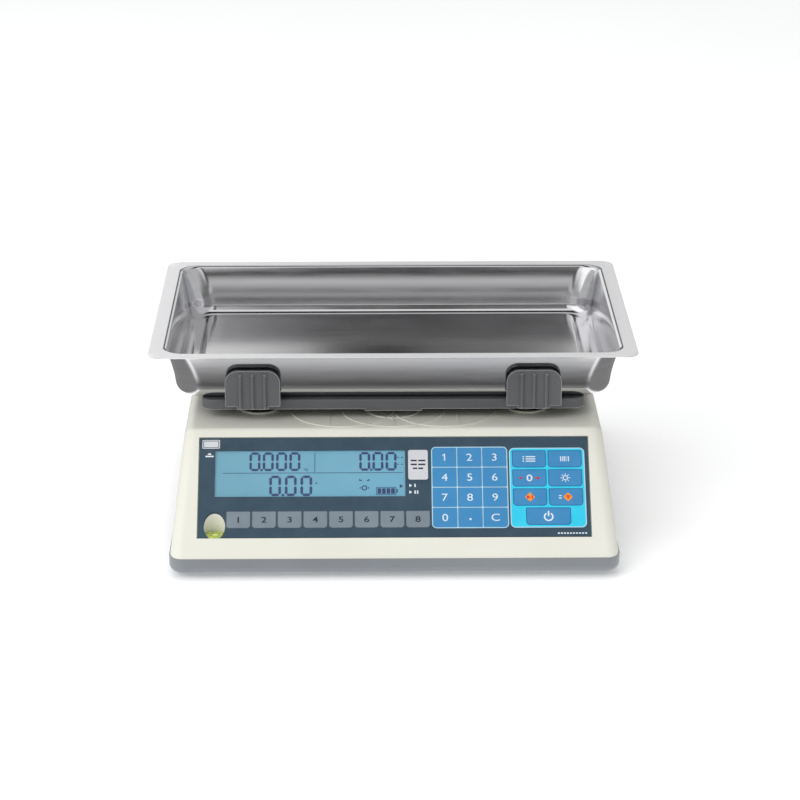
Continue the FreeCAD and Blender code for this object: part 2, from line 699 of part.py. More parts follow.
def make_main_board():
    x = ("main_board_left", "chassis_right")
    y = ("main_board_front", "main_board_front + main_board_length")
    bottom = "main_board_bottom"
    top = "main_board_bottom + board_thickness"
    pieces = [block("board_plate", x, y, (bottom, top))]
    for side, board_x in (("left", f"{x[0]} + standoff_inset"), ("right", f"{x[1]} - standoff_inset")):
        for end, board_y in (("front", f"{y[0]} + standoff_inset"), ("rear", f"{y[1]} - standoff_inset")):
            pieces.append(cylinder(f"board_standoff_{side}_{end}", board_x, board_y,
                                   (PLATE_TOP, bottom), "standoff_radius"))
    pieces.append(block("board_chip", (f"{x[0]} + chip_x", f"{x[0]} + chip_x + chip_size"),
                        (f"{y[0]} + chip_y", f"{y[0]} + chip_y + chip_size"),
                        (top, f"{top} + chip_height")))
    pieces.append(block("board_connector",
                        (f"{x[0]} + connector_x", f"{x[0]} + connector_x + connector_length"),
                        (f"{y[1]} - connector_y", f"{y[1]} - connector_y + connector_width"),
                        (top, f"{top} + connector_height")))
    pieces.append(cylinder("board_capacitor", f"{x[0]} + capacitor_x", f"{y[0]} + capacitor_y",
                           (top, f"{top} + capacitor_height"), "capacitor_radius"))
    subpart("main_board", join("main_board_set", *pieces))


# ---------------------------------------------------------------- weighing mechanism

CELL_TOP = "(cell_bottom + cell_height)"
CELL_Y = ("pan_centre_y - cell_width / 2", "pan_centre_y + cell_width / 2")
PLATE_TOP = "(chassis_bottom + chassis_thickness)"
FRAME_TOP = "(frame_bottom + frame_height)"
FIXED_BOLTS = ("-cell_length / 2 + outer_bolt", "-cell_length / 2 + inner_bolt")
LIVE_BOLTS = ("cell_length / 2 - outer_bolt", "cell_length / 2 - inner_bolt")


def stop_places():
    for side in (-1, 1):
        for way in (-1, 1):
            yield f"{side} * stop_x", f"pan_centre_y + {way} * stop_reach"


def make_chassis():
    plate = block("chassis_sheet", ("chassis_left", "chassis_right"),
                  ("chassis_front", "chassis_rear"), ("chassis_bottom", PLATE_TOP))
    plate = rounded("chassis_corners", plate, upright_edges("chassis_corner"))
    z = ("chassis_bottom", PLATE_TOP)
    holes = [
        cylinder(f"chassis_hole_{n}", x, y, z, "screw_radius + fit_clearance")
        for n, (x, y) in enumerate(chassis_screw_places())
    ]
    holes += [
        cylinder(f"chassis_bolt_hole_{n}", x, "pan_centre_y", z, "bolt_radius + fit_clearance")
        for n, x in enumerate(FIXED_BOLTS)
    ]
    subpart("chassis_plate", cut("chassis_plate_cut", plate, *holes))
    stops = [
        cylinder(f"stop_{n}", x, y, (PLATE_TOP, "frame_bottom - overload_travel - fit_clearance"),
                 "stop_radius")
        for n, (x, y) in enumerate(stop_places())
    ]
    subpart("overload_stops", join("overload_stop_set", *stops))


def make_load_cell():
    length = "cell_length / 2"
    beam = block("cell_beam", (f"-{length}", length), CELL_Y, ("cell_bottom", CELL_TOP))
    middle = "cell_bottom + cell_height / 2"
    window = [
        depth_cylinder(f"gauge_bore_{side + 1}", f"{side} * gauge_offset", CELL_Y, middle, "gauge_radius")
        for side in (-1, 1)
    ]
    window.append(block("gauge_slot_cut", ("-gauge_offset", "gauge_offset"), CELL_Y,
                        (f"{middle} - gauge_slot / 2", f"{middle} + gauge_slot / 2")))
    holes = [
        cylinder(f"cell_fixed_hole_{n}", x, "pan_centre_y", ("cell_bottom", "cell_bottom + base_tap"),
                 "bolt_radius + fit_clearance")
        for n, x in enumerate(FIXED_BOLTS)
    ]
    holes += [
        cylinder(f"cell_live_hole_{n}", x, "pan_centre_y", (f"{CELL_TOP} - top_tap", CELL_TOP),
                 "bolt_radius + fit_clearance")
        for n, x in enumerate(LIVE_BOLTS)
    ]
    subpart("load_cell", cut("load_cell_cut", beam, *window, *holes))


def spacer(name, x, z, bolts):
    body = block(name + "_block", x, CELL_Y, z)
    holes = [
        cylinder(f"{name}_hole_{n}", bolt, "pan_centre_y", z, "bolt_radius + fit_clearance")
        for n, bolt in enumerate(bolts)
    ]
    return subpart(name, cut(name + "_cut", body, *holes))


def make_cell_mounting():
    spacer("cell_base_spacer", ("-cell_length / 2", "-cell_length / 2 + cell_end"),
           (PLATE_TOP, "cell_bottom"), FIXED_BOLTS)
    spacer("cell_top_spacer", ("cell_length / 2 - cell_end", "cell_length / 2"),
           (CELL_TOP, "frame_bottom"), LIVE_BOLTS)
    fixed = []
    for n, x in enumerate(FIXED_BOLTS):
        fixed.append(cylinder(f"fixed_bolt_{n}", x, "pan_centre_y",
                              ("chassis_bottom", "cell_bottom + bolt_grip"), "bolt_radius"))
        fixed.append(cylinder(f"fixed_bolt_head_{n}", x, "pan_centre_y",
                              ("chassis_bottom - bolt_head_height", "chassis_bottom"), "bolt_head"))
    subpart("cell_base_bolts", join("fixed_bolt_set", *fixed))
    live = []
    for n, x in enumerate(LIVE_BOLTS):
        live.append(cylinder(f"live_bolt_{n}", x, "pan_centre_y",
                             (f"{CELL_TOP} - bolt_grip", FRAME_TOP), "bolt_radius"))
        live.append(cylinder(f"live_bolt_head_{n}", x, "pan_centre_y",
                             (FRAME_TOP, f"{FRAME_TOP} + bolt_head_height"), "bolt_head"))
    subpart("cell_top_bolts", join("live_bolt_set", *live))


def make_weighing_frame():
    """Cross-shaped casting that carries the four posts."""
    reach = "(sqrt(post_x ^ 2 + post_reach ^ 2) + arm_width / 2)"
    swing = math.degrees(math.atan2(value("post_reach"), value("post_x")))
    arms = []
    for side in (-1, 1):
        arm = DOC.addObject("Part::Box", f"frame_arm_{side + 1}")
        bind(arm, "Length", f"2 * {reach}")
        bind(arm, "Width", "arm_width")
        bind(arm, "Height", "frame_height")
        turn = Rotation(Vector(0, 0, 1), side * swing)
        start = turn.multVec(Vector(-value(reach), -value("arm_width") / 2, 0))
        arm.Placement = Placement(start + Vector(0, value("pan_centre_y"), value("frame_bottom")), turn)
        arms.append(arm)
    hub = block("frame_hub", ("-cell_end", "cell_length / 2"), CELL_Y, ("frame_bottom", FRAME_TOP))
    holes = [
        cylinder(f"frame_hole_{n}", x, "pan_centre_y", ("frame_bottom", FRAME_TOP),
                 "bolt_radius + fit_clearance")
        for n, x in enumerate(LIVE_BOLTS)
    ]
    subpart("weighing_frame", cut("weighing_frame_cut", join("frame_cross", hub, *arms), *holes))
    posts = [
        cylinder(f"post_{n}", x, y, (FRAME_TOP, "platform_top - platform_plate"), "post_radius")
        for n, (x, y) in enumerate(deck_places())
    ]
    subpart("support_posts", join("support_post_set", *posts))


# ---------------------------------------------------------------- platform, clips and pan

PLATFORM_Y = ("pan_centre_y - platform_reach", "pan_centre_y + platform_reach")


def clip_places():
    """(name, x, way): way is -1 at the front edge and 1 at the rear."""
    for end, way in (("front", -1), ("rear", 1)):
        for hand, side in (("left", -1), ("right", 1)):
            yield f"clip_{end}_{hand}", f"{side} * clip_x", way


def span(way, near, far):
    """A low-high pair of Y expressions between two distances from the pan's middle."""
    near_y, far_y = f"pan_centre_y + {way} * ({near})", f"pan_centre_y + {way} * ({far})"
    return (far_y, near_y) if way < 0 else (near_y, far_y)


def make_platform():
    x = ("-platform_half", "platform_half")
    slab = rounded("platform_slab", block("platform_block", x, PLATFORM_Y,
                                          ("platform_bottom", "platform_top")),
                   upright_edges("platform_corner"))
    edge = value("platform_edge")
    top = value("platform_top")
    slab = rounded("platform_soft_edge", slab, lambda middle, _: edge if middle.z > top - TOUCH else 0)
    hollow = rounded("platform_hollow", block(
        "platform_hollow_block", ("-platform_half + platform_wall", "platform_half - platform_wall"),
        (f"{PLATFORM_Y[0]} + platform_wall", f"{PLATFORM_Y[1]} - platform_wall"),
        ("platform_bottom - rib_rise", "platform_top - platform_plate")),
        upright_edges("platform_corner - platform_wall"))
    pieces = [cut("platform_tray", slab, hollow)]
    rib_z = ("platform_bottom + rib_rise", "platform_top - platform_plate")
    for n, offset in enumerate(("-post_reach / 2", "0", "post_reach / 2")):
        middle = f"pan_centre_y + {offset}"
        pieces.append(block(f"platform_rib_{n}",
                            ("-platform_half + platform_wall", "platform_half - platform_wall"),
                            (f"{middle} - platform_rib / 2", f"{middle} + platform_rib / 2"), rib_z))
    for way in (-1, 1):
        pieces.append(block(f"platform_tab_{way + 1}", ("-tab_half", "tab_half"),
                            span(way, "platform_reach - platform_wall", "platform_reach"),
                            ("platform_bottom - tab_drop", "platform_bottom + tab_root")))
    notches = []
    for name, clip_x, way in clip_places():
        notches.append(block(f"{name}_notch", (f"{clip_x} - clip_tongue", f"{clip_x} + clip_tongue"),
                             span(way, "platform_reach - notch_depth", "platform_reach + platform_wall"),
                             ("platform_bottom - rib_rise", "platform_top - platform_plate")))
    subpart("platform", cut("platform_cut", join("platform_solid", *pieces), *notches))


def make_clips():
    """Upright grips at the platform's edges that keep the pan in place."""
    clips = []
    for name, x, way in clip_places():
        inner = "clip_reach"
        outer = "clip_reach + clip_thickness"
        plate = block(f"{name}_plate", (f"{x} - clip_width / 2", f"{x} + clip_width / 2"),
                      span(way, inner, outer), ("clip_bottom", "clip_top"))
        top = value("clip_top - clip_bottom")
        corner = value("clip_corner")
        low_corner = value("clip_low_corner")
        plate = rounded(f"{name}_shape", plate,
                        lambda middle, direction: corner
                        if along(direction, 1) and abs(middle.z - top) < TOUCH
                        else (low_corner if along(direction, 1) else 0))
        pieces = [plate]
        for n, offset in enumerate(("-grip_pitch", "0", "grip_pitch")):
            grip = block(f"{name}_grip_{n}",
                         (f"{x} + {offset} - grip_width / 2", f"{x} + {offset} + grip_width / 2"),
                         span(way, outer, f"{outer} + grip_depth"), ("grip_low", "grip_high"))
            pieces.append(rounded(f"{name}_grip_round_{n}", grip, upright_edges("grip_width / 2.5")))
        pieces.append(block(f"{name}_tongue", (f"{x} - clip_tongue", f"{x} + clip_tongue"),
                            span(way, "platform_reach - tongue_length", outer),
                            ("platform_bottom + tongue_rise", "platform_top - platform_plate")))
        clips.append(join(name, *pieces))
    subpart("pan_clips", join("pan_clip_set", *clips))


def dish(name, gap, low, top):
    """The pan's inside, or its outside when gap is the sheet's thickness, as one solid with a brim.
    low is the wall's lowest level and top the level of the brim."""
    half_x = f"(pan_width / 2 - flange + {gap} / cos(pan_draft))"
    half_y = f"(pan_depth / 2 - flange + {gap} / cos(pan_draft))"
    run = f"(({top}) - ({low})) * tan(pan_draft)"
    bowl = tapered(
        name + "_bowl", (low, top),
        (f"{half_x} - {run}", half_x),
        (f"pan_centre_y - {half_y} + {run}", f"pan_centre_y - {half_y}"),
        (f"pan_centre_y + {half_y} - {run}", f"pan_centre_y + {half_y}"),
    )
    corner = value(f"pan_corner + {gap}")
    bowl = rounded(name + "_corners", bowl,
                   lambda middle, direction: corner if abs(direction.y) > 0.5 else 0)
    floor = value(f"pan_floor_radius + {gap}")
    lowest = value(low) + TOUCH
    return rounded(name + "_floor", bowl, lambda middle, _: floor if middle.z < lowest else 0)


def lip(name, base, level, radius):
    """Round the edge where the pan's wall meets the brim, at one level."""
    half_x = value("pan_width / 2 - flange / 2")
    half_y = value("pan_depth / 2 - flange / 2")
    middle_y = value("pan_centre_y")
    height, size = value(level), value(radius)

    def rule(middle, _):
        inside = abs(middle.x) < half_x and abs(middle.y - middle_y) < half_y
        return size if inside and abs(middle.z - height) < TOUCH else 0

    return rounded(name, base, rule)


def make_pan():
    """Deep-drawn pan: a flat brim, leaning walls, and a floor panel raised inside a narrow valley."""
    floor_top = "(platform_top + sheet)"
    brim_x = ("-pan_width / 2", "pan_width / 2")
    brim_y = ("pan_centre_y - pan_depth / 2", "pan_centre_y + pan_depth / 2")
    outside = dish("pan_outside", "sheet", "platform_top", "rim_top - sheet")
    inside = dish("pan_inside", "0", floor_top, "rim_top")
    brim = rounded("pan_brim", block("pan_brim_block", brim_x, brim_y, ("rim_top - sheet", "rim_top")),
                   upright_edges("rim_corner"))
    step_x = "(pan_width / 2 - flange - step_margin)"
    step_y = "(pan_depth / 2 - flange - step_margin)"

    def panel(name, gap, z):
        slab = block(name, (f"-{step_x} - ({gap})", f"{step_x} + ({gap})"),
                     (f"pan_centre_y - {step_y} - ({gap})", f"pan_centre_y + {step_y} + ({gap})"), z)
        return rounded(name + "_corners", slab, upright_edges("step_corner"))

    raised = panel("pan_panel_top", "0", ("platform_top", f"{floor_top} + floor_step"))
    recess = panel("pan_panel_under", "-sheet", ("platform_top - sheet", "platform_top + floor_step"))
    above = block("pan_above", brim_x, brim_y, ("rim_top", "rim_top + sheet"))
    solid = lip("pan_solid_lip", join("pan_solid", outside, brim), "rim_top - sheet", "lip_radius - sheet")
    hollow = lip("pan_hollow_lip", join("pan_hollow", inside, above), "rim_top", "lip_radius")
    subpart("pan", cut("pan_cut", solid, cut("pan_space", hollow, raised), recess))


# ---------------------------------------------------------------- build, test and write

def build():
    make_upper_housing()
    make_base_shell()
    make_screws()
    make_feet()
    make_keys()
    make_overlay()
    make_front_display()
    make_level_vial()
    make_rear_display()
    make_inlet()
    make_battery()
    make_main_board()
    make_chassis()
    make_load_cell()
    make_cell_mounting()
    make_weighing_frame()
    make_platform()
    make_clips()
    make_pan()
    DOC.recompute()


def check():
    for thing in DOC.Objects:
        if "Invalid" in thing.State or "Error" in thing.State:
            raise RuntimeError(f"{thing.Name} ({thing.Label}) failed: {thing.State}")
    for thing in SUBPARTS:
        shape = thing.Shape
        if shape.isNull() or not shape.isValid() or not shape.Solids:
            raise RuntimeError(f"{thing.Label} has no valid solid")


def write():
    os.makedirs("parts", exist_ok=True)
    for thing in SUBPARTS:
        thing.Shape.exportStep(f"parts/{thing.Label}.step")
    print(f"{len(SUBPARTS)} sub-parts written")


build()
check()
write()
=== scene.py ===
import json
import math

import bpy
from mathutils import Matrix, Vector


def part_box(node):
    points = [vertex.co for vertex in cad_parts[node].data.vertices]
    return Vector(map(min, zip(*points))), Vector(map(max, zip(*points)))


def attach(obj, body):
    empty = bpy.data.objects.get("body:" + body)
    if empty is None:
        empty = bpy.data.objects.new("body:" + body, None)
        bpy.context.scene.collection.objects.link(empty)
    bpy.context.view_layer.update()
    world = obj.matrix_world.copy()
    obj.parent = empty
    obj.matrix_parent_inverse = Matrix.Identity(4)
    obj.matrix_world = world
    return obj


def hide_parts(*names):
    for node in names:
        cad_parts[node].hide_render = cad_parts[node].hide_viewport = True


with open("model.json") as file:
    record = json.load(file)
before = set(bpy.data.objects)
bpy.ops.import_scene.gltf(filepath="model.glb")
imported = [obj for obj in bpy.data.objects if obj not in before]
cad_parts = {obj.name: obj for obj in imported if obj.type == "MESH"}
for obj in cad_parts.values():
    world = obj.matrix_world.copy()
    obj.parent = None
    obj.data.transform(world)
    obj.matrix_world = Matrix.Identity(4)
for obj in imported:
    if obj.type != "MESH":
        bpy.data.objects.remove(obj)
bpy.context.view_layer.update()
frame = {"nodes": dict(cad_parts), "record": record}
nodes = frame["nodes"]

# Lengths are in metres. MM turns the design's millimetres into metres.
MM = 0.001
PRINT = 0.03 * MM
FIXED = "scale_body"

# The keypad panel: u runs to the right, v up the slope and w out of it. Its origin is the middle of
# the film's lower edge, on the film's face.
PANEL_TILT = math.radians(45)
FILM_THICKNESS = 1.2 * MM
KEY_THICKNESS = 0.65 * MM
KEY_PROUD = 0.05 * MM
KEY_GAP = 0.12 * MM
LCD_DEPTH = 1.3 * MM
LCD_INK = 0.04 * MM
WINDOW_THICKNESS = 1.0 * MM

# The rear display's face leans 78 degrees from the horizontal and looks backwards.
REAR_TILT = math.radians(78)
REAR_FILM_THICKNESS = 1.0 * MM
REAR_LCD_DEPTH = 1.1 * MM


def srgb(red, green, blue):
    """A colour as it looks on a screen, 0 to 255, as linear values."""
    def linear(level):
        level /= 255
        return level / 12.92 if level <= 0.04045 else ((level + 0.055) / 1.055) ** 2.4
    return linear(red), linear(green), linear(blue)


def face_frame(origin, across, tilt, facing):
    """Matrix from a sloping face's u, v, w to the row frame."""
    up_slope = Vector((0, facing * math.cos(tilt), math.sin(tilt)))
    outwards = Vector((0, -facing * math.sin(tilt), math.cos(tilt)))
    matrix = Matrix((across, up_slope, outwards)).transposed().to_4x4()
    matrix.translation = origin
    return matrix


def panel_frame():
    low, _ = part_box("keypad_overlay")
    origin = Vector((0, low.y, low.z + FILM_THICKNESS * math.cos(PANEL_TILT)))
    return face_frame(origin, Vector((1, 0, 0)), PANEL_TILT, 1)


def rear_frame():
    low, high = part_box("rear_overlay")
    origin = Vector((0, high.y, low.z + REAR_FILM_THICKNESS * math.cos(REAR_TILT)))
    return face_frame(origin, Vector((-1, 0, 0)), REAR_TILT, -1)


PANEL = panel_frame()
REAR = rear_frame()


def on_panel(node, thickness):
    """(left, low, right, high) of a flat node on the panel, in metres of u and v."""
    low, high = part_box(node)
    middle = PANEL.inverted() @ ((low + high) / 2)
    height = (high.y - low.y - thickness * math.sin(PANEL_TILT)) / math.cos(PANEL_TILT)
    return low.x, middle.y - height / 2, high.x, middle.y + height / 2


# ---------------------------------------------------------------- materials

class Look:
    """A procedural material: one Principled shader, and short calls that add nodes to it."""

    def __init__(self, name, roughness=0.5, metallic=0.0):
        self.material = bpy.data.materials.new(name)
        self.material.use_nodes = True
        self.tree = self.material.node_tree
        self.shader = self.tree.nodes["Principled BSDF"]
        self.set("Roughness", roughness)
        self.set("Metallic", metallic)

    def set(self, socket, value):
        self.shader.inputs[socket].default_value = value

    def add(self, kind, **inputs):
        node = self.tree.nodes.new(kind)
        for name, value in inputs.items():
            node.inputs[name.replace("_", " ")].default_value = value
        return node

    def link(self, source, target):
        self.tree.links.new(source, target)

    def place(self, stretch=(1, 1, 1)):
        mapping = self.add("ShaderNodeMapping", Scale=stretch)
        self.link(self.add("ShaderNodeTexCoord").outputs["Object"], mapping.inputs["Vector"])
        return mapping.outputs["Vector"]

    def noise(self, scale, detail=2.0, stretch=(1, 1, 1)):
        texture = self.add("ShaderNodeTexNoise", Scale=scale, Detail=detail)
        self.link(self.place(stretch), texture.inputs["Vector"])
        return texture.outputs["Fac"]

    def spread(self, factor, low, high, start=0.3, end=0.7):
        node = self.add("ShaderNodeMapRange", From_Min=start, From_Max=end, To_Min=low, To_Max=high)
        self.link(factor, node.inputs["Value"])
        return node.outputs["Result"]

    def blend(self, factor, dark, light):
        node = self.tree.nodes.new("ShaderNodeMix")
        node.data_type = "RGBA"
        for socket, colour in ((node.inputs[6], dark), (node.inputs[7], light)):
            if isinstance(colour, tuple):
                socket.default_value = (*colour, 1)
            else:
                self.link(colour, socket)
        self.link(factor, node.inputs[0])
        return node.outputs[2]

    def maths(self, operation, first, second=None):
        node = self.tree.nodes.new("ShaderNodeMath")
        node.operation = operation
        self.link(first, node.inputs[0])
        if isinstance(second, (int, float)):
            node.inputs[1].default_value = second
        elif second:
            self.link(second, node.inputs[1])
        return node.outputs["Value"]

    def edges(self, radius):
        """1 where a rounded edge turns away from its face, 0 on the face itself."""
        rounded = self.add("ShaderNodeBevel", Radius=radius)
        face = self.add("ShaderNodeNewGeometry")
        match = self.add("ShaderNodeVectorMath")
        match.operation = "DOT_PRODUCT"
        self.link(rounded.outputs["Normal"], match.inputs[0])
        self.link(face.outputs["True Normal"], match.inputs[1])
        return self.spread(match.outputs["Value"], 1, 0, 0.75, 0.98)

    def colour(self, source):
        self.link(source, self.shader.inputs["Base Color"])
        return self

    def rough(self, factor, low, high):
        self.link(self.spread(factor, low, high), self.shader.inputs["Roughness"])
        return self

    def bump(self, *layers):
        """Each layer is (height, strength, distance); they add up."""
        normal = None
        for height, strength, distance in layers:
            node = self.add("ShaderNodeBump", Strength=strength, Distance=distance)
            self.link(height, node.inputs["Height"])
            if normal:
                self.link(normal, node.inputs["Normal"])
            normal = node.outputs["Normal"]
        self.link(normal, self.shader.inputs["Normal"])
        return self


# How far in from a rounded edge the painted edge highlight reaches.
EDGE_HIGHLIGHT_RADIUS = 0.9 * MM


def moulded(name, dark, light, roughness, grain=2200, relief=0.05, edge=None):
    """Moulded plastic: a slow drift of colour, and a fine grain that scatters the gloss. edge is the
    colour painted onto its rounded edges as a highlight."""
    look = Look(name, roughness)
    fine = look.noise(grain, 3)
    colour = look.blend(look.spread(look.noise(14, 3), 0, 1), dark, light)
    if edge:
        # Painted highlight: rounded edges are blended towards the lighter edge colour.
        colour = look.blend(look.edges(EDGE_HIGHLIGHT_RADIUS), colour, edge)
    look.colour(colour)
    look.rough(look.noise(60, 4), roughness - 0.05, roughness + 0.07)
    return look.bump((fine, 0.14, relief * MM), (look.noise(9, 2), 0.06, 0.4 * MM)).material


def printed(name, dark, light, roughness=0.42):
    """Ink under a fine-textured film."""
    look = Look(name, roughness)
    look.colour(look.blend(look.spread(look.noise(70, 3), 0, 1), dark, light))
    look.rough(look.noise(900, 2), roughness - 0.05, roughness + 0.05)
    look.set("Specular IOR Level", 0.3)
    return look.bump((look.noise(3200, 2), 0.08, 0.02 * MM)).material


def brushed_floor():
    """Stainless sheet, faintly brushed along the pan's length."""
    look = Look("steel_brushed", 0.12, 1.0)
    lines = look.noise(60, 4, (0.25, 22, 22))
    look.colour(look.blend(look.spread(lines, 0, 1), srgb(192, 192, 193), srgb(200, 200, 201)))
    look.rough(lines, 0.13, 0.17)
    return look.bump((lines, 0.015, 0.01 * MM), (look.noise(4, 2), 0.06, 0.4 * MM)).material


def polished_wall():
    """Drawn stainless: bright, with faint drawing lines and soft waves."""
    look = Look("steel_polished", 0.16, 1.0)
    lines = look.noise(40, 4, (0.6, 0.6, 6))
    look.colour(look.blend(look.spread(lines, 0, 1), srgb(208, 208, 210), srgb(216, 216, 218)))
    look.rough(lines, 0.11, 0.15)
    return look.bump((lines, 0.01, 0.01 * MM), (look.noise(14, 2), 0.05, 0.3 * MM)).material


def satin_brim():
    """The brim's fine satin scatters light almost like paint."""
    look = Look("steel_brim", 0.42, 0.6)
    lines = look.noise(60, 4, (1, 20, 20))
    look.colour(look.blend(look.spread(lines, 0, 1), srgb(238, 238, 239), srgb(244, 244, 245)))
    look.rough(lines, 0.38, 0.46)
    return look.bump((lines, 0.02, 0.02 * MM)).material


def machined(name, dark, light, roughness=0.35):
    look = Look(name, roughness, 1.0)
    marks = look.noise(240, 4, (0.2, 1, 1))
    look.colour(look.blend(look.spread(marks, 0, 1), dark, light))
    look.rough(marks, roughness - 0.08, roughness + 0.1)
    return look.bump((marks, 0.1, 0.05 * MM)).material


def display_glow(name):
    """Backlit liquid crystal: brighter towards the lamp at its right-hand end, with a fine pixel grain."""
    look = Look(name, 0.28)
    axes = look.add("ShaderNodeSeparateXYZ")
    look.link(look.place(), axes.inputs["Vector"])
    along = look.spread(axes.outputs["X"], 0, 1, -0.14, 0.01)
    base = look.blend(along, srgb(92, 148, 168), srgb(94, 158, 184))
    colour = look.blend(look.spread(look.noise(40, 3), 0, 0.3), base, srgb(104, 162, 184))
    look.colour(colour)
    look.link(colour, look.shader.inputs["Emission Color"])
    look.set("Emission Strength", 0.2)
    return look.bump((look.noise(2600, 1), 0.06, 0.02 * MM)).material


def clear_film():
    look = Look("clear_window", 0.1)
    look.colour(look.blend(look.spread(look.noise(40, 2), 0, 1), srgb(225, 240, 245), srgb(240, 248, 250)))
    look.set("Alpha", 0.03)
    return look.bump((look.noise(30, 2), 0.08, 0.1 * MM)).material


def level_fluid():
    look = Look("level_fluid", 0.12)
    look.colour(look.blend(look.spread(look.noise(220, 2), 0, 1), srgb(150, 172, 40), srgb(196, 208, 84)))
    look.set("Coat Weight", 0.8)
    look.set("Coat Roughness", 0.05)
    return look.bump((look.noise(90, 2), 0.08, 0.1 * MM)).material


def circuit_board():
    look = Look("circuit_board", 0.4)
    tracks = look.add("ShaderNodeTexBrick", Scale=260.0, Mortar_Size=0.03)
    look.link(look.place(), tracks.inputs["Vector"])
    look.colour(look.blend(tracks.outputs["Fac"], srgb(20, 92, 50), srgb(96, 130, 70)))
    return look.bump((tracks.outputs["Fac"], 0.2, 0.05 * MM)).material


CREAM = moulded("cream_plastic", srgb(232, 231, 218), srgb(237, 236, 225), 0.34)
GREY = moulded("grey_plastic", srgb(134, 138, 143), srgb(142, 146, 151), 0.4)
# The platform and clips carry a painted highlight: their rounded edges are coloured much lighter.
CARRIER = moulded("platform_plastic", srgb(92, 93, 95), srgb(102, 103, 105), 0.36,
                  edge=srgb(222, 223, 225))
CLIP = moulded("clip_plastic", srgb(96, 97, 99), srgb(106, 107, 109), 0.18, relief=0.02,
               edge=srgb(212, 213, 215))
BLACK = moulded("black_plastic", srgb(28, 28, 30), srgb(40, 40, 42), 0.5)
RUBBER = moulded("foot_rubber", srgb(38, 38, 40), srgb(52, 52, 54), 0.75, grain=1400, relief=0.12)
SLATE = printed("slate_film", srgb(52, 73, 87), srgb(60, 81, 95))
BLUE = printed("blue_key", srgb(64, 138, 192), srgb(70, 144, 197))
# The blue and grey key-edge colours below are painted shade: a darker line round each embossed key's rim.
BLUE_EDGE_SHADE = printed("blue_key_edge_shade", srgb(38, 104, 158), srgb(44, 110, 164))
PRESET = printed("grey_key", srgb(122, 134, 144), srgb(130, 142, 151))
GREY_EDGE_SHADE = printed("grey_key_edge_shade", srgb(84, 96, 107), srgb(90, 102, 113))
CYAN = printed("cyan_print", srgb(52, 206, 238), srgb(62, 214, 244))
PALE = printed("pale_print", srgb(172, 214, 236), srgb(186, 224, 242))
WHITE = printed("white_print", srgb(222, 234, 242), srgb(232, 241, 247))
PLATE = printed("plate_print", srgb(208, 210, 214), srgb(218, 220, 223))
INK = printed("dark_ink", srgb(34, 38, 52), srgb(44, 48, 62))
ORANGE = printed("orange_print", srgb(240, 138, 34), srgb(250, 160, 60))
RED = printed("red_print", srgb(214, 36, 60), srgb(232, 54, 78))
NAVY = printed("lcd_ink", srgb(8, 40, 96), srgb(14, 50, 108), 0.3)
LCD = display_glow("lcd_glass")
CLEAR = clear_film()
FLUID = level_fluid()
BUBBLE = printed("level_bubble_skin", srgb(214, 222, 140), srgb(228, 234, 170), 0.08)
BOARD = circuit_board()
BRUSHED = brushed_floor()
POLISHED = polished_wall()
BRIM = satin_brim()
ALUMINIUM = machined("aluminium", srgb(186, 188, 190), srgb(208, 210, 212))
ZINC = machined("plated_steel", srgb(168, 170, 174), srgb(196, 198, 202))
BRASS = machined("brass", srgb(198, 160, 92), srgb(218, 184, 116), 0.3)

SLOT_LOOKS = {
    "cream_plastic": CREAM, "grey_plastic": GREY, "platform_plastic": CARRIER, "slate_film": SLATE,
    "clear_window": CLEAR, "lcd_glass": LCD, "circuit_board": BOARD, "level_fluid": FLUID,
    "black_plastic": BLACK, "plated_steel": ZINC, "aluminium": ALUMINIUM, "brass": BRASS,
    "stainless_steel": POLISHED, "blue_key": BLUE, "grey_key": PRESET, "foot_rubber": RUBBER,
}


def dress_nodes():
    """Give each CAD node the finished material of its slot; the clips are glossier than their slot."""
    for part in frame["record"]["subparts"]:
        mesh = nodes[part["node"]].data
        mesh.materials.clear()
        look = CLIP if part["node"] == "pan_clips" else SLOT_LOOKS[part["material_slot"]]
        mesh.materials.append(look)


# ---------------------------------------------------------------- flat outlines

def arc(centre_u, centre_v, radius, start, end, steps):
    """Points along an arc, with angles in degrees."""
    points = []
    for step in range(steps + 1):
        angle = math.radians(start + (end - start) * step / steps)
        points.append((centre_u + radius * math.cos(angle), centre_v + radius * math.sin(angle)))
    return points


def rectangle(left, low, right, high, radius=0.0, corners=None):
    """A rectangle with one corner radius, or with four: lower left, lower right, upper right, upper left."""
    radii = corners or (radius, radius, radius, radius)
    places = ((1, 1, left, low, 180), (-1, 1, right, low, 270), (-1, -1, right, high, 0),
              (1, -1, left, high, 90))
    points = []
    for size, (across, up, u, v, start) in zip(radii, places):
        if size:
            points += arc(u + across * size, v + up * size, size, start, start + 90, 6)
        else:
            points.append((u, v))
    return points


def circle(u, v, radius, steps=40):
    return arc(u, v, radius, 0, 360 * (steps - 1) / steps, steps - 1)


def turned(points, centre, degrees):
    """Points turned about a centre."""
    swing = math.radians(degrees)
    result = []
    for u, v in points:
        du, dv = u - centre[0], v - centre[1]
        result.append((centre[0] + du * math.cos(swing) - dv * math.sin(swing),
                       centre[1] + du * math.sin(swing) + dv * math.cos(swing)))
    return result


def bar(u, v, width, height, radius=0.0):
    return rectangle(u - width / 2, v - height / 2, u + width / 2, v + height / 2, radius)


def mesh_of(thing):
    """The mesh of an object with its modifiers applied, or of a curve or text object."""
    bpy.context.view_layer.update()
    return bpy.data.meshes.new_from_object(thing.evaluated_get(bpy.context.evaluated_depsgraph_get()))


def mesh_from(curve_object, name):
    """The mesh of a curve or text object, which is then removed."""
    mesh = mesh_of(curve_object)
    mesh.name = name
    data = curve_object.data
    bpy.data.objects.remove(curve_object)
    bpy.data.curves.remove(data)
    return mesh


def piece(name, mesh, body, material):
    """Link a finished mesh as a piece that rides on a body."""
    thing = bpy.data.objects.new(name, mesh)
    bpy.context.scene.collection.objects.link(thing)
    mesh.materials.clear()
    mesh.materials.append(material)
    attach(thing, body)
    return thing


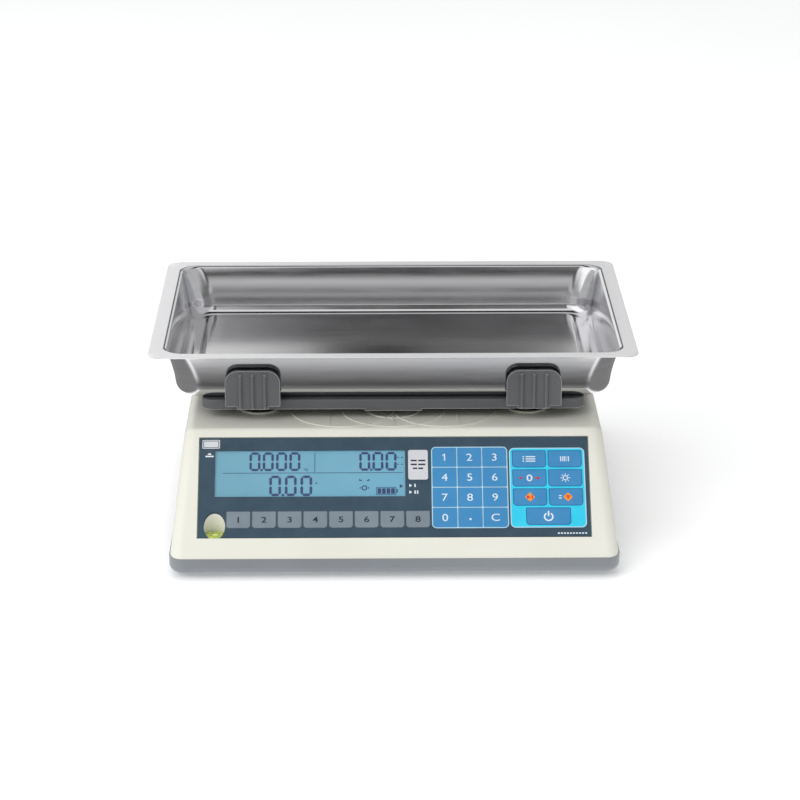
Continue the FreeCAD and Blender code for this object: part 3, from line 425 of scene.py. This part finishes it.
def flat_mesh(name, outlines, depth=PRINT):
    """A thin solid between w = 0 and depth; an outline inside another one is a hole."""
    curve = bpy.data.curves.new(name, "CURVE")
    curve.dimensions = "2D"
    curve.fill_mode = "BOTH"
    curve.extrude = depth / 2
    for points in outlines:
        spline = curve.splines.new("POLY")
        spline.points.add(len(points) - 1)
        for point, (u, v) in zip(spline.points, points):
            point.co = (u, v, 0, 1)
        spline.use_cyclic_u = True
    holder = bpy.data.objects.new(name, curve)
    bpy.context.scene.collection.objects.link(holder)
    mesh = mesh_from(holder, name)
    mesh.transform(Matrix.Translation((0, 0, depth / 2)))
    return mesh


def print_on(name, outlines, place, lift, material, body=FIXED, depth=PRINT):
    """Ink on a face: outlines in u and v, lifted w above the face."""
    mesh = flat_mesh(name, outlines, depth)
    mesh.transform(place @ Matrix.Translation((0, 0, lift)))
    return piece(name, mesh, body, material)


def text_mesh(name, text, height, width_share=1.0, depth=PRINT, weight=0.0):
    """A word or figure centred on u = v = 0, of a given height; weight thickens its strokes."""
    font = bpy.data.curves.new(name, "FONT")
    font.body = text
    font.offset = weight
    font.extrude = depth / 2
    holder = bpy.data.objects.new(name, font)
    bpy.context.scene.collection.objects.link(holder)
    mesh = mesh_from(holder, name)
    across = [vertex.co.x for vertex in mesh.vertices]
    along = [vertex.co.y for vertex in mesh.vertices]
    size = height / (max(along) - min(along))
    centre = Vector(((max(across) + min(across)) / 2, (max(along) + min(along)) / 2, 0))
    mesh.transform(Matrix.Translation(-centre))
    mesh.transform(Matrix.Diagonal((size * width_share, size, 1, 1)))
    mesh.transform(Matrix.Translation((0, 0, depth / 2)))
    return mesh


# ---------------------------------------------------------------- seven-segment figures

SEGMENTS = {"a": (0, 2, 1), "b": (1, 1, 0), "c": (1, 0, 0), "d": (0, 0, 1), "e": (0, 0, 0),
            "f": (0, 1, 0), "g": (0, 1, 1)}


def segment(kind, left, low, width, height, line):
    """One bar of a figure, with pointed ends. SEGMENTS gives its column, row and whether it lies flat."""
    column, row, flat = SEGMENTS[kind]
    gap = line * 0.12
    half = line / 2
    middle_v = (height - line) / 2
    if flat:
        start, end = left + half + gap, left + width - half - gap
        level = low + half + row * middle_v
        return [(start, level), (start + half, level + half), (end - half, level + half), (end, level),
                (end - half, level - half), (start + half, level - half)]
    across = left + half + column * (width - line)
    start, end = low + half + row * middle_v + gap, low + half + (row + 1) * middle_v - gap
    return [(across, start), (across + half, start + half), (across + half, end - half), (across, end),
            (across - half, end - half), (across - half, start + half)]


def zeros(left, low, width, height, pitch, count, point_after, line):
    """A row of noughts with a decimal point after one of them."""
    outlines = []
    for place in range(count):
        start = left + place * pitch
        for kind in "abcdef":
            outlines.append(segment(kind, start, low, width, height, line))
        if place == point_after:
            outlines.append(bar(start + width + (pitch - width) / 2, low + line * 0.45,
                                line * 0.9, line * 0.9))
    return outlines


# ---------------------------------------------------------------- front display

def make_display():
    """Figures and marks on the liquid crystal, laid out from the window's lower left corner."""
    left, low, right, high = on_panel("display_window", WINDOW_THICKNESS)

    def at(u, v):
        return left + u * MM, low + v * MM

    line = 2.0 * MM
    upper_v = 22.0 * MM
    figure = (8.5 * MM, 15.8 * MM)
    ink = zeros(left + 26.2 * MM, low + upper_v, *figure, 10.2 * MM, 4, 0, line)
    ink += zeros(left + 110.4 * MM, low + upper_v, *figure, 10.1 * MM, 3, 0, line)
    ink += zeros(left + 41.6 * MM, low + 1.0 * MM, 9.1 * MM, 17.2 * MM, 11.9 * MM, 3, 0, line * 1.08)
    thin = 0.5 * MM
    rule_v = 20.1 * MM
    ink.append(rectangle(left + 6 * MM, low + rule_v, right - 1.5 * MM, low + rule_v + thin))
    ink.append(rectangle(left + 76.1 * MM, low + rule_v + MM, left + 76.1 * MM + thin, high - 1.6 * MM))
    ink.append(circle(*at(77.6, 11.8), 0.7 * MM, 16))
    for side in (-1, 1):
        tip = at(114.3 + side * 1.3, 13.4)
        ink.append([tip, (tip[0] + side * 2.6 * MM, tip[1]), (tip[0] + side * 2.6 * MM, tip[1] + 1.9 * MM)])
        mark = at(114.3 + side * 3.6, 7.6)
        ink.append([(mark[0], mark[1] + 0.9 * MM), (mark[0] - side * 1.2 * MM, mark[1]),
                    (mark[0], mark[1] - 0.9 * MM)])
    nought = at(114.3, 7.6)
    ink += [circle(*nought, 2.2 * MM, 24), circle(*nought, 1.3 * MM, 24)]
    arrow = at(142.6, 9)
    ink.append([(arrow[0] - 1.3 * MM, arrow[1] + 1.7 * MM), (arrow[0] - 1.3 * MM, arrow[1] - 1.7 * MM),
                (arrow[0] + 1.5 * MM, arrow[1])])
    for u in (140.2, 143.2):
        for v in (33.2, 27.4):
            ink.append(bar(*at(u, v), 1.6 * MM, 0.7 * MM))
    print_on("lcd_figures", ink, PANEL, -LCD_DEPTH, NAVY, depth=LCD_INK)
    cells = [rectangle(*at(123.2, 1.6), *at(138.6, 8.2), 0.5 * MM),
             rectangle(*at(123.7, 2.1), *at(138.1, 7.7), 0.3 * MM)]
    cells += [rectangle(*at(124.3 + step * 3.45, 2.6), *at(127.2 + step * 3.45, 7.2)) for step in range(4)]
    cells.append(rectangle(*at(138.8, 3.4), *at(139.8, 6.4)))
    print_on("lcd_battery_mark", cells, PANEL, -LCD_DEPTH, NAVY, depth=LCD_INK)
    unit = text_mesh("lcd_unit_mark", "kg", 3.0 * MM, 1.1, LCD_INK)
    unit.transform(PANEL @ Matrix.Translation((*at(69.6, 23.4), -LCD_DEPTH)))
    piece("lcd_unit_mark", unit, FIXED, NAVY)


def make_panel_marks():
    """Plain marks in place of the badge, the capacity plate's lines and the words beside the display."""
    left, low, right, high = on_panel("display_window", WINDOW_THICKNESS)
    film_right, top = on_panel("keypad_overlay", FILM_THICKNESS)[2:]
    badge = (left - 10.1 * MM, top - 8.9 * MM, left + 3.4 * MM, top - 1.6 * MM)
    print_on("panel_badge", [rectangle(*badge, 0.8 * MM)], PANEL, 0, PLATE)
    edge = 0.7 * MM
    frame_line = 0.5 * MM
    outer = (badge[0] + edge, badge[1] + edge, badge[2] - edge, badge[3] - edge)
    inner = (outer[0] + frame_line, outer[1] + frame_line, outer[2] - frame_line, outer[3] - frame_line)
    print_on("panel_badge_line", [rectangle(*outer, 0.5 * MM), rectangle(*inner, 0.3 * MM)], PANEL, PRINT,
             SLATE)
    plate_left, plate_right = right + 2.3 * MM, right + 17.4 * MM
    plate_low, plate_high = high - 25.2 * MM, high - 0.2 * MM
    print_on("capacity_plate", [rectangle(plate_left, plate_low, plate_right, plate_high, 1.6 * MM)],
             PANEL, 0, PLATE)
    middle = (plate_left + plate_right) / 2
    dashes = []
    for row, share in enumerate((0.74, 0.74, 0.52)):
        level = plate_high - (9.6 + 3.3 * row) * MM
        width = (plate_right - plate_left) * share
        dashes.append(rectangle(middle - width / 2, level, middle - width * 0.08, level + 1.3 * MM))
        dashes.append(rectangle(middle + width * 0.02, level, middle + width / 2, level + 1.3 * MM))
    print_on("capacity_lines", dashes, PANEL, PRINT, INK)
    marks = []
    for row in range(2):
        level = low + (8.9 - 5.6 * row) * MM
        marks.append([(right + 3 * MM, level - 1.4 * MM), (right + 3 * MM, level + 1.4 * MM),
                      (right + 5.2 * MM, level)])
        marks += [bar(right + (7.4 + 1.9 * n) * MM, level, 1.0 * MM, 2.8 * MM) for n in range(row + 1)]
    marks.append(bar(left - 4.4 * MM, high - 5 * MM, 6.4 * MM, 1.1 * MM))
    marks.append([(left - 6.2 * MM, high - 3.7 * MM), (left - 2.6 * MM, high - 3.7 * MM),
                  (left - 4.4 * MM, high - 2.0 * MM)])
    print_on("pointer_marks", marks, PANEL, 0, WHITE)
    code = []
    for n in range(10):
        inset = (3.1 + 2.3 * n) * MM
        code.append(rectangle(film_right - inset - 1.5 * MM, 2.2 * MM, film_right - inset, 3.3 * MM))
    print_on("panel_code_bars", code, PANEL, 0, WHITE)


# ---------------------------------------------------------------- keys

NUMBER_KEYS = [f"key_{n}" for n in range(10)] + ["key_point", "key_clear"]
FUNCTION_KEYS = ["key_lookup", "key_label", "key_zero", "key_backlight", "key_function", "key_tare",
                 "key_power"]
PRESET_KEYS = [f"preset_key_{n}" for n in range(1, 9)]


def key_span(name):
    return on_panel(name, KEY_THICKNESS)


def key_centre(name):
    left, low, right, high = key_span(name)
    return (left + right) / 2, (low + high) / 2


def group_span(names):
    spans = [key_span(name) for name in names]
    return (min(s[0] for s in spans), min(s[1] for s in spans), max(s[2] for s in spans),
            max(s[3] for s in spans))


def key_hole(name, corners):
    left, low, right, high = key_span(name)
    return rectangle(left - KEY_GAP, low - KEY_GAP, right + KEY_GAP, high + KEY_GAP, corners=corners)


def outer_corners(name, group, big, small):
    """Large radii only where a key's corner is also its group's corner."""
    left, low, right, high = key_span(name)
    near = 0.5 * MM
    at_left, at_right = abs(left - group[0]) < near, abs(right - group[2]) < near
    at_low, at_high = abs(low - group[1]) < near, abs(high - group[3]) < near
    pairs = ((at_left, at_low), (at_right, at_low), (at_right, at_high), (at_left, at_high))
    return tuple(big if all(pair) else small for pair in pairs)


# The holes round the function keys: large radii below, small ones above.
SHAPED = (2.9 * MM, 2.9 * MM, 0.9 * MM, 0.9 * MM)


def make_pads():
    """The pale grid round the number keys, and the cyan field with its pale edge."""
    group = group_span(NUMBER_KEYS)
    left, low, right, high = group
    edge = 0.9 * MM
    grid = [rectangle(left - edge, low - edge, right + edge, high + edge, 3.5 * MM)]
    for name in NUMBER_KEYS:
        grid.append(key_hole(name, outer_corners(name, group, 2.7 * MM, 0.9 * MM)))
    print_on("number_grid", grid, PANEL, 0, PALE)
    left, low, right, high = group_span(FUNCTION_KEYS)
    inner = 1.5 * MM
    outer = inner + 0.8 * MM
    field = rectangle(left - inner, low - inner, right + inner, high + inner, 3.0 * MM)
    print_on("function_field", [field] + [key_hole(n, SHAPED) for n in FUNCTION_KEYS], PANEL, 0, CYAN)
    border = rectangle(left - outer, low - outer, right + outer, high + outer, 3.8 * MM)
    print_on("function_border", [border, field], PANEL, 0, PALE)


def make_key_edges():
    """Painted shade: a darker line just inside the edge of the function and preset keys, round their
    embossed rims.
    """
    line = 0.5 * MM
    for names, material, slot in ((FUNCTION_KEYS, BLUE_EDGE_SHADE, "blue_key"),
                                  (PRESET_KEYS, GREY_EDGE_SHADE, "grey_key")):
        for name in names:
            left, low, right, high = key_span(name)
            outer = rectangle(left, low, right, high, corners=(2.8 * MM, 2.8 * MM, 0.8 * MM, 0.8 * MM))
            inner = rectangle(left + line, low + line, right - line, high - line,
                              corners=(2.3 * MM, 2.3 * MM, 0.5 * MM, 0.5 * MM))
            print_on(f"{name}_edge", [outer, inner], PANEL, KEY_PROUD, material, body=name)


def legend(name, outlines, material=WHITE, layer=0):
    """Printed outlines about a key's centre, in millimetres; they ride on the key."""
    u, v = key_centre(name)
    moved = [[(u + a * MM, v + b * MM) for a, b in points] for points in outlines]
    lift = KEY_PROUD + layer * PRINT
    return print_on(f"{name}_legend_{layer}", moved, PANEL, lift, material, body=name)


def figure(name, text, height, material, width_share, slot, weight=0.0):
    u, v = key_centre(name)
    title = f"{name}_figure"
    mesh = text_mesh(title, text, height * MM, width_share, weight=weight)
    mesh.transform(PANEL @ Matrix.Translation((u, v, KEY_PROUD)))
    return piece(title, mesh, name, material)


def diamond(u, v, size, corner=0.8):
    return turned(bar(u, v, size, size, corner), (u, v), 45)


def triangle(u, v, size, degrees):
    """A triangle pointing to +u before it is turned."""
    return turned([(u - size / 2, v + size / 2), (u - size / 2, v - size / 2), (u + size / 2, v)],
                  (u, v), degrees)


def make_legends():
    for digit in range(10):
        if digit != 1:
            figure(f"key_{digit}", str(digit), 6.0, WHITE, 1.15, "blue_key")
    one = [(0.7, -3.0), (0.7, 3.0), (-0.1, 3.0), (-1.5, 1.9), (-1.5, 1.1), (-0.2, 1.9), (-0.2, -3.0)]
    legend("key_1", [one])
    figure("key_clear", "C", 6.0, WHITE, 1.2, "blue_key")
    legend("key_point", [circle(0, -1.4, 0.9, 20)])
    for number, name in enumerate(PRESET_KEYS, start=1):
        figure(name, str(number), 4.8, INK, 1.3, "grey_key", weight=0.015)
    rows = [bar(1.2, 1.9 - 1.9 * n, 7.4, 0.95, 0.2) for n in range(3)]
    dots = [bar(-4.3, 1.9 - 1.9 * n, 1.2, 0.95, 0.2) for n in range(3)]
    legend("key_lookup", rows + dots)
    stripes = ((-3.0, 0.8), (-1.6, 0.5), (-0.3, 0.9), (1.1, 0.5), (2.9, 0.9))
    legend("key_label", [bar(u, 0, width, 4.2) for u, width in stripes])
    figure("key_zero", "0", 5.6, WHITE, 1.25, "blue_key", weight=0.01)
    pointers = [triangle(-5.2, 0, 2.4, 0), triangle(5.2, 0, 2.4, 180)]
    stems = [bar(-7.0, 0, 1.8, 0.9), bar(7.0, 0, 1.8, 0.9)]
    legend("key_zero", pointers + stems, RED)
    rays = [turned(bar(0, 3.0, 0.6, 1.4), (0, 0), 45 * n) for n in range(8)]
    legend("key_backlight", [circle(0, 0, 2.0), circle(0, 0, 1.35)] + rays)
    legend("key_function", [diamond(0, 0, 5.6)], ORANGE)
    legend("key_function", [triangle(-1.0, 0, 3.0, 0), bar(1.7, 0, 0.9, 3.0)], RED, 1)
    legend("key_tare", [diamond(1.6, 0, 5.4)], ORANGE)
    legend("key_tare", [bar(1.6, 0.9, 3.0, 0.9), triangle(1.6, -0.9, 2.2, 270)], RED, 1)
    legend("key_tare", [bar(-4.3, 1.0, 2.2, 0.8), bar(-4.3, -1.0, 2.2, 0.8)], WHITE, 2)
    opening = 32
    ring = arc(0, -0.4, 3.7, 90 + opening, 450 - opening, 36)
    ring += list(reversed(arc(0, -0.4, 2.6, 90 + opening, 450 - opening, 36)))
    legend("key_power", [ring, bar(0, 2.2, 1.15, 4.4, 0.4)])


# ---------------------------------------------------------------- level

def make_level():
    """The bubble and the ring line on top of the round level's vial."""
    low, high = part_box("level_vial")
    centre = (low + high) / 2
    top = Matrix.Translation((centre.x, centre.y, high.z))
    line = flat_mesh("level_ring_line", [circle(0, 0, 3.4 * MM), circle(0, 0, 3.1 * MM)], 0.05 * MM)
    line.transform(top)
    piece("level_ring_line", line, FIXED, BLACK)
    bpy.ops.mesh.primitive_uv_sphere_add(segments=32, ring_count=16, radius=2.3 * MM)
    bubble = bpy.context.object
    bubble.name = "level_bubble"
    aside = Matrix.Translation((0.8 * MM, -0.5 * MM, 0))
    bubble.data.transform(top @ aside @ Matrix.Diagonal((1, 1, 0.2, 1)))
    bubble.data.materials.append(BUBBLE)
    bubble.data.shade_smooth()
    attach(bubble, FIXED)


# ---------------------------------------------------------------- pan

BRIM_WIDTH = 13 * MM
SHEET = 0.8 * MM
PAN_DRAFT = math.radians(12)
WALL_SWEEP = math.radians(9)
LIP_RADIUS = 3.4 * MM
FLOOR_RADIUS = 8.5 * MM
VALLEY = 3.7 * MM
PAN_CORNER = 16 * MM
FLOOR_CORNER = 22 * MM
PANEL_CORNER = 9 * MM
BRIM_CORNER = 11 * MM
STEP_RISE = 4 * MM
STEP_SLOPE = math.radians(60)
STEP_INSET = 19.5 * MM
STEP_CORNER_START = 6 * MM
BRIM_EDGE = 0.25 * MM
PANEL_MARGIN = 12 * MM


def bend(start, radius, angles, way=-1):
    """Points along an arc of a profile whose slope goes from one angle to another. The slope is 0 where
    the profile runs level and a right angle where it is upright; way is -1 down and 1 up."""
    inset, height = start
    steps = 8
    points = []
    for step in range(1, steps + 1):
        slope = angles[0] + (angles[1] - angles[0]) * (step - 0.5) / steps
        length = radius * abs(angles[1] - angles[0]) / steps
        inset += length * math.cos(slope)
        height += way * length * math.sin(slope)
        points.append((inset, height))
    return points


def pan_profile(depth):
    """(inset from the brim's edge, height above the rim, zone) from the brim's edge to the floor panel.
    depth is from the rim to the valley round the panel."""
    steep = math.pi / 2 - PAN_DRAFT + WALL_SWEEP / 2
    gentle = steep - WALL_SWEEP
    start = BRIM_WIDTH - LIP_RADIUS * math.tan(gentle / 2)
    points = [(0.0, -BRIM_EDGE, "brim"), (BRIM_EDGE, 0.0, "brim"), (start * 0.5, 0.0, "brim"),
              (start, 0.0, "brim")]
    lip = bend((start, 0.0), LIP_RADIUS, (0.0, gentle))
    drop = depth + lip[-1][1] - FLOOR_RADIUS * (1 - math.cos(steep))
    wall_radius = drop / (math.cos(PAN_DRAFT) * WALL_SWEEP)
    wall = bend(lip[-1], wall_radius, (gentle, steep))
    floor = bend(wall[-1], FLOOR_RADIUS, (steep, 0.0))
    points += [(*point, "wall") for point in lip + wall + floor]
    foot = (floor[-1][0] + VALLEY, floor[-1][1])
    points.append((*foot, "wall"))
    radius = STEP_RISE / (1 - math.cos(STEP_SLOPE)) / 3
    rise = bend(foot, radius, (0.0, STEP_SLOPE), 1)
    shoulder = bend(rise[-1], 2 * radius, (STEP_SLOPE, 0.0), 1)
    points += [(*point, "floor") for point in rise + shoulder]
    points.append((shoulder[-1][0] + PANEL_MARGIN, shoulder[-1][1], "floor"))
    return points


def plan_corner(inset):
    """The plan radius of the pan at a distance in from the brim's edge."""
    stops = ((0.0, BRIM_CORNER), (BRIM_WIDTH, PAN_CORNER), (BRIM_WIDTH + STEP_CORNER_START, FLOOR_CORNER),
             (BRIM_WIDTH + STEP_INSET, PANEL_CORNER), (1.0, PANEL_CORNER))
    for (near, first), (far, last) in zip(stops, stops[1:]):
        if inset <= far:
            return first + (last - first) * (inset - near) / (far - near)
    return PANEL_CORNER


def pan_ring(half_x, half_y, corner, centre_y, level):
    """A level ring of points round a rounded rectangle, with the same count at every size."""
    ring = []
    for start, sign_x, sign_y in ((0, 1, 1), (90, -1, 1), (180, -1, -1), (270, 1, -1)):
        centre = (sign_x * (half_x - corner), sign_y * (half_y - corner))
        for u, v in arc(*centre, corner, start, start + 90, 12):
            ring.append((u, centre_y + v, level))
    return ring


def make_pan():
    """The deep-drawn pan: brim, rounded lip, leaning wall, valley and raised floor panel."""
    low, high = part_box("pan")
    half_x, half_y = (high.x - low.x) / 2, (high.y - low.y) / 2
    centre_y = (high.y + low.y) / 2
    depth = high.z - low.z - SHEET
    vertices, zones = [], []
    profile = pan_profile(depth)
    for inset, height, zone in profile:
        vertices += pan_ring(half_x - inset, half_y - inset, plan_corner(inset), centre_y, high.z + height)
        zones.append(zone)
    count = len(vertices) // len(profile)
    faces, slots = [], []
    for ring in range(len(profile) - 1):
        for n in range(count):
            following = (n + 1) % count
            faces.append((ring * count + n, ring * count + following, (ring + 1) * count + following,
                          (ring + 1) * count + n))
            slots.append({"brim": 0, "wall": 1, "floor": 2}[zones[ring + 1]])
    last = (len(profile) - 1) * count
    faces.append(tuple(range(last, last + count)))
    slots.append(2)
    mesh = bpy.data.meshes.new("steel_pan")
    mesh.from_pydata(vertices, [], faces)
    for material in (BRIM, POLISHED, BRUSHED):
        mesh.materials.append(material)
    mesh.polygons.foreach_set("material_index", slots)
    pan = bpy.data.objects.new("steel_pan", mesh)
    bpy.context.scene.collection.objects.link(pan)
    skin = pan.modifiers.new("sheet", "SOLIDIFY")
    skin.thickness = SHEET
    skin.offset = -1
    skin.use_even_offset = True
    pan.data = mesh_of(pan)
    pan.modifiers.clear()
    pan.data.shade_smooth()
    pan.data.set_sharp_from_angle(angle=math.radians(40))
    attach(pan, "pan")
    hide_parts("pan")


# ---------------------------------------------------------------- rear display

def make_rear_display():
    """The customer's three figures, on the face that looks backwards."""
    low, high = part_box("rear_lcd")
    half = (high.x - low.x) / 2 - 1.5 * MM
    start_v = 8 * MM
    ink = []
    for left, count in ((-half + 12 * MM, 4), (half - 70 * MM, 3), (half - 36 * MM, 3)):
        ink += zeros(left, start_v + 5 * MM, 8 * MM, 15.5 * MM, 10.2 * MM, count, 0, 1.5 * MM)
    print_on("rear_lcd_figures", ink, REAR, -REAR_LCD_DEPTH, NAVY, depth=LCD_INK)


# ---------------------------------------------------------------- stage

CAMERA_DROP = 19.0
CAMERA_SWING = 0.68
CAMERA_LENS = 128.4
CAMERA_PLACE = Vector((-0.0197, -2.1715, 0.8298))
WORLD_STRENGTH = 0.62
FLOOR_GLOW = 0.2


def make_camera():
    data = bpy.data.cameras.new("camera")
    data.lens = CAMERA_LENS
    data.clip_end = 50
    camera = bpy.data.objects.new("camera", data)
    camera.location = CAMERA_PLACE
    camera.rotation_euler = (math.radians(90 - CAMERA_DROP), 0, math.radians(-CAMERA_SWING))
    bpy.context.scene.collection.objects.link(camera)
    bpy.context.scene.camera = camera


def soft_light(name, place, target, size, power):
    data = bpy.data.lights.new(name, "AREA")
    data.shape = "RECTANGLE"
    data.size, data.size_y = size
    data.energy = power
    lamp = bpy.data.objects.new(name, data)
    lamp.location = place
    lamp.rotation_euler = (Vector(target) - Vector(place)).to_track_quat("-Z", "Y").to_euler()
    lamp.visible_glossy = False
    bpy.context.scene.collection.objects.link(lamp)


def unseen_except_in_reflections(thing):
    thing.visible_camera = False
    thing.visible_diffuse = False
    thing.visible_shadow = False
    thing.visible_transmission = False


def ramp(look, factor, stops):
    """A colour ramp of greys from (position, level) stops."""
    node = look.tree.nodes.new("ShaderNodeValToRGB")
    node.color_ramp.interpolation = "EASE"
    elements = node.color_ramp.elements
    while len(elements) < len(stops):
        elements.new(0.5)
    for element, (position, level) in zip(elements, stops):
        element.position = position
        element.color = (level, level, level, 1)
    look.link(factor, node.inputs["Fac"])
    return node.outputs["Color"]


# What the steel mirrors: brightness against the angle from the front horizon (0) over the zenith (0.5)
# to the rear horizon (1). Between BAND_START and BAND_END, and beyond REAR_START, the level comes from
# BAND_STOPS instead, which run across the middle ACROSS metres. Beyond SIDE_NEAR it is SIDE_STOPS, made
# brighter on the left and darker on the right.
ARCH_STOPS = ((0.0, 0.2), (0.054, 0.2), (0.066, 0.55), (0.086, 0.8), (0.104, 0.02), (0.3, 0.4), (0.38, 1.0),
              (0.47, 1.0), (0.53, 0.0), (0.61, 0.0), (0.66, 0.75), (0.78, 0.75), (0.86, 0.3))
BAND_STOPS = ((0.0, 1.1), (0.22, 1.05), (0.34, 0.75), (0.43, 0.06), (0.52, 0.0), (0.62, 0.16), (0.75, 0.2),
              (0.9, 0.6), (1.0, 0.9))
BAND_START = 0.13
BAND_END = 0.37
BAND_BLUR = 0.02
REAR_START = 0.86
ACROSS = 1.0
SIDE_STOPS = ((0.0, 0.35), (0.12, 0.3), (0.25, 0.95), (0.7, 0.95), (0.82, 0.6))
SIDE_NEAR = 0.8
SIDE_FAR = 1.4
LEFT_GAIN = 0.5
RIGHT_GAIN = -0.35
ARCH_RADIUS = 3.0
ARCH_LENGTH = 9.0


def arch_look():
    look = Look("studio_arch", 1.0)
    axes = look.add("ShaderNodeSeparateXYZ")
    look.link(look.place(), axes.inputs["Vector"])
    flip = look.maths("MULTIPLY", axes.outputs["Y"], -1)
    turn = look.spread(look.maths("ARCTAN2", axes.outputs["Z"], flip), 0, 1, 0, math.pi)
    over = ramp(look, turn, ARCH_STOPS)
    across = ramp(look, look.spread(axes.outputs["X"], 0, 1, -ACROSS / 2, ACROSS / 2), BAND_STOPS)
    entering = look.spread(turn, 0, 1, BAND_START - BAND_BLUR, BAND_START + BAND_BLUR)
    leaving = look.spread(turn, 1, 0, BAND_END - BAND_BLUR / 2, BAND_END + BAND_BLUR / 2)
    low_rear = look.spread(turn, 0, 1, REAR_START - BAND_BLUR, REAR_START + BAND_BLUR)
    banded = look.maths("MAXIMUM", look.maths("MULTIPLY", entering, leaving), low_rear)
    levels = look.blend(banded, over, across)
    sideways = look.spread(look.maths("ABSOLUTE", axes.outputs["X"]), 0, 1, SIDE_NEAR, SIDE_FAR)
    colour = look.blend(sideways, levels, ramp(look, turn, SIDE_STOPS))
    look.set("Base Color", (0, 0, 0, 1))
    look.link(colour, look.shader.inputs["Emission Color"])
    gain = look.spread(axes.outputs["X"], LEFT_GAIN, RIGHT_GAIN, -SIDE_NEAR, SIDE_NEAR)
    strength = look.maths("ADD", look.maths("MULTIPLY", sideways, gain), 1)
    look.link(strength, look.shader.inputs["Emission Strength"])
    look.material.cycles.emission_sampling = "NONE"
    return look.material


def make_arch():
    """A half pipe round the object along X, seen only in reflections."""
    steps = 48
    vertices, faces = [], []
    for step in range(steps + 1):
        angle = math.pi * step / steps
        for x in (-ARCH_LENGTH / 2, ARCH_LENGTH / 2):
            vertices.append((x, -ARCH_RADIUS * math.cos(angle), ARCH_RADIUS * math.sin(angle)))
    for step in range(steps):
        faces.append((2 * step, 2 * step + 1, 2 * step + 3, 2 * step + 2))
    mesh = bpy.data.meshes.new("studio_arch")
    mesh.from_pydata(vertices, [], faces)
    mesh.materials.append(arch_look())
    arch = bpy.data.objects.new("studio_arch", mesh)
    bpy.context.scene.collection.objects.link(arch)
    unseen_except_in_reflections(arch)


# The table as the steel mirrors it: bright close to the object, then darker. It darkens over TABLE_RUN
# from TABLE_NEAR in front, and from TABLE_BESIDE to either side for only TABLE_BESIDE_SHARE of that run.
TABLE_STOPS = ((0.0, 1.4), (0.1, 0.75), (0.24, 0.24), (0.5, 0.04), (1.0, 0.24))
TABLE_NEAR = 0.185
TABLE_BESIDE = 0.2
TABLE_RUN = 0.12
TABLE_BESIDE_SHARE = 0.22


def make_table_card():
    bpy.ops.mesh.primitive_plane_add(size=ARCH_LENGTH, location=(0, 0, -0.5 * MM))
    card = bpy.context.object
    card.name = "table_card"
    look = Look("table_card", 1.0)
    axes = look.add("ShaderNodeSeparateXYZ")
    look.link(look.place(), axes.inputs["Vector"])
    forward = look.maths("SUBTRACT", look.maths("MULTIPLY", axes.outputs["Y"], -1), TABLE_NEAR)
    aside = look.maths("SUBTRACT", look.maths("ABSOLUTE", axes.outputs["X"]), TABLE_BESIDE)
    aside = look.maths("MINIMUM", aside, TABLE_BESIDE_SHARE * TABLE_RUN)
    away = look.spread(look.maths("MAXIMUM", forward, aside), 0, 1, 0, TABLE_RUN)
    look.set("Base Color", (0, 0, 0, 1))
    look.link(ramp(look, away, TABLE_STOPS), look.shader.inputs["Emission Color"])
    look.set("Emission Strength", 1.0)
    look.material.cycles.emission_sampling = "NONE"
    card.data.materials.append(look.material)
    unseen_except_in_reflections(card)


def make_stage():
    bpy.ops.mesh.primitive_plane_add(size=24)
    floor = bpy.context.object
    floor.name = "floor"
    look = Look("floor", 0.8)
    look.colour(look.blend(look.spread(look.noise(1.5, 2), 0, 1), srgb(247, 247, 247), srgb(250, 250, 250)))
    look.set("Emission Color", (1, 1, 1, 1))
    look.set("Emission Strength", FLOOR_GLOW)
    floor.data.materials.append(look.bump((look.noise(40, 2), 0.02, MM)).material)
    floor.visible_glossy = False
    make_arch()
    make_table_card()
    world = bpy.data.worlds.new("world")
    world.use_nodes = True
    world.node_tree.nodes["Background"].inputs["Color"].default_value = (0.98, 0.99, 1.0, 1)
    world.node_tree.nodes["Background"].inputs["Strength"].default_value = WORLD_STRENGTH
    bpy.context.scene.world = world
    bpy.context.scene.view_settings.view_transform = "Standard"
    soft_light("key_light", (-2.0, -1.4, 1.9), (0, 0, 0.1), (2.6, 2.0), 30)
    soft_light("top_light", (-0.2, 0.5, 2.8), (0, 0, 0.1), (2.2, 1.6), 24)


dress_nodes()
make_display()
make_panel_marks()
make_pads()
make_key_edges()
make_legends()
make_level()
make_pan()
make_rear_display()
make_camera()
make_stage()
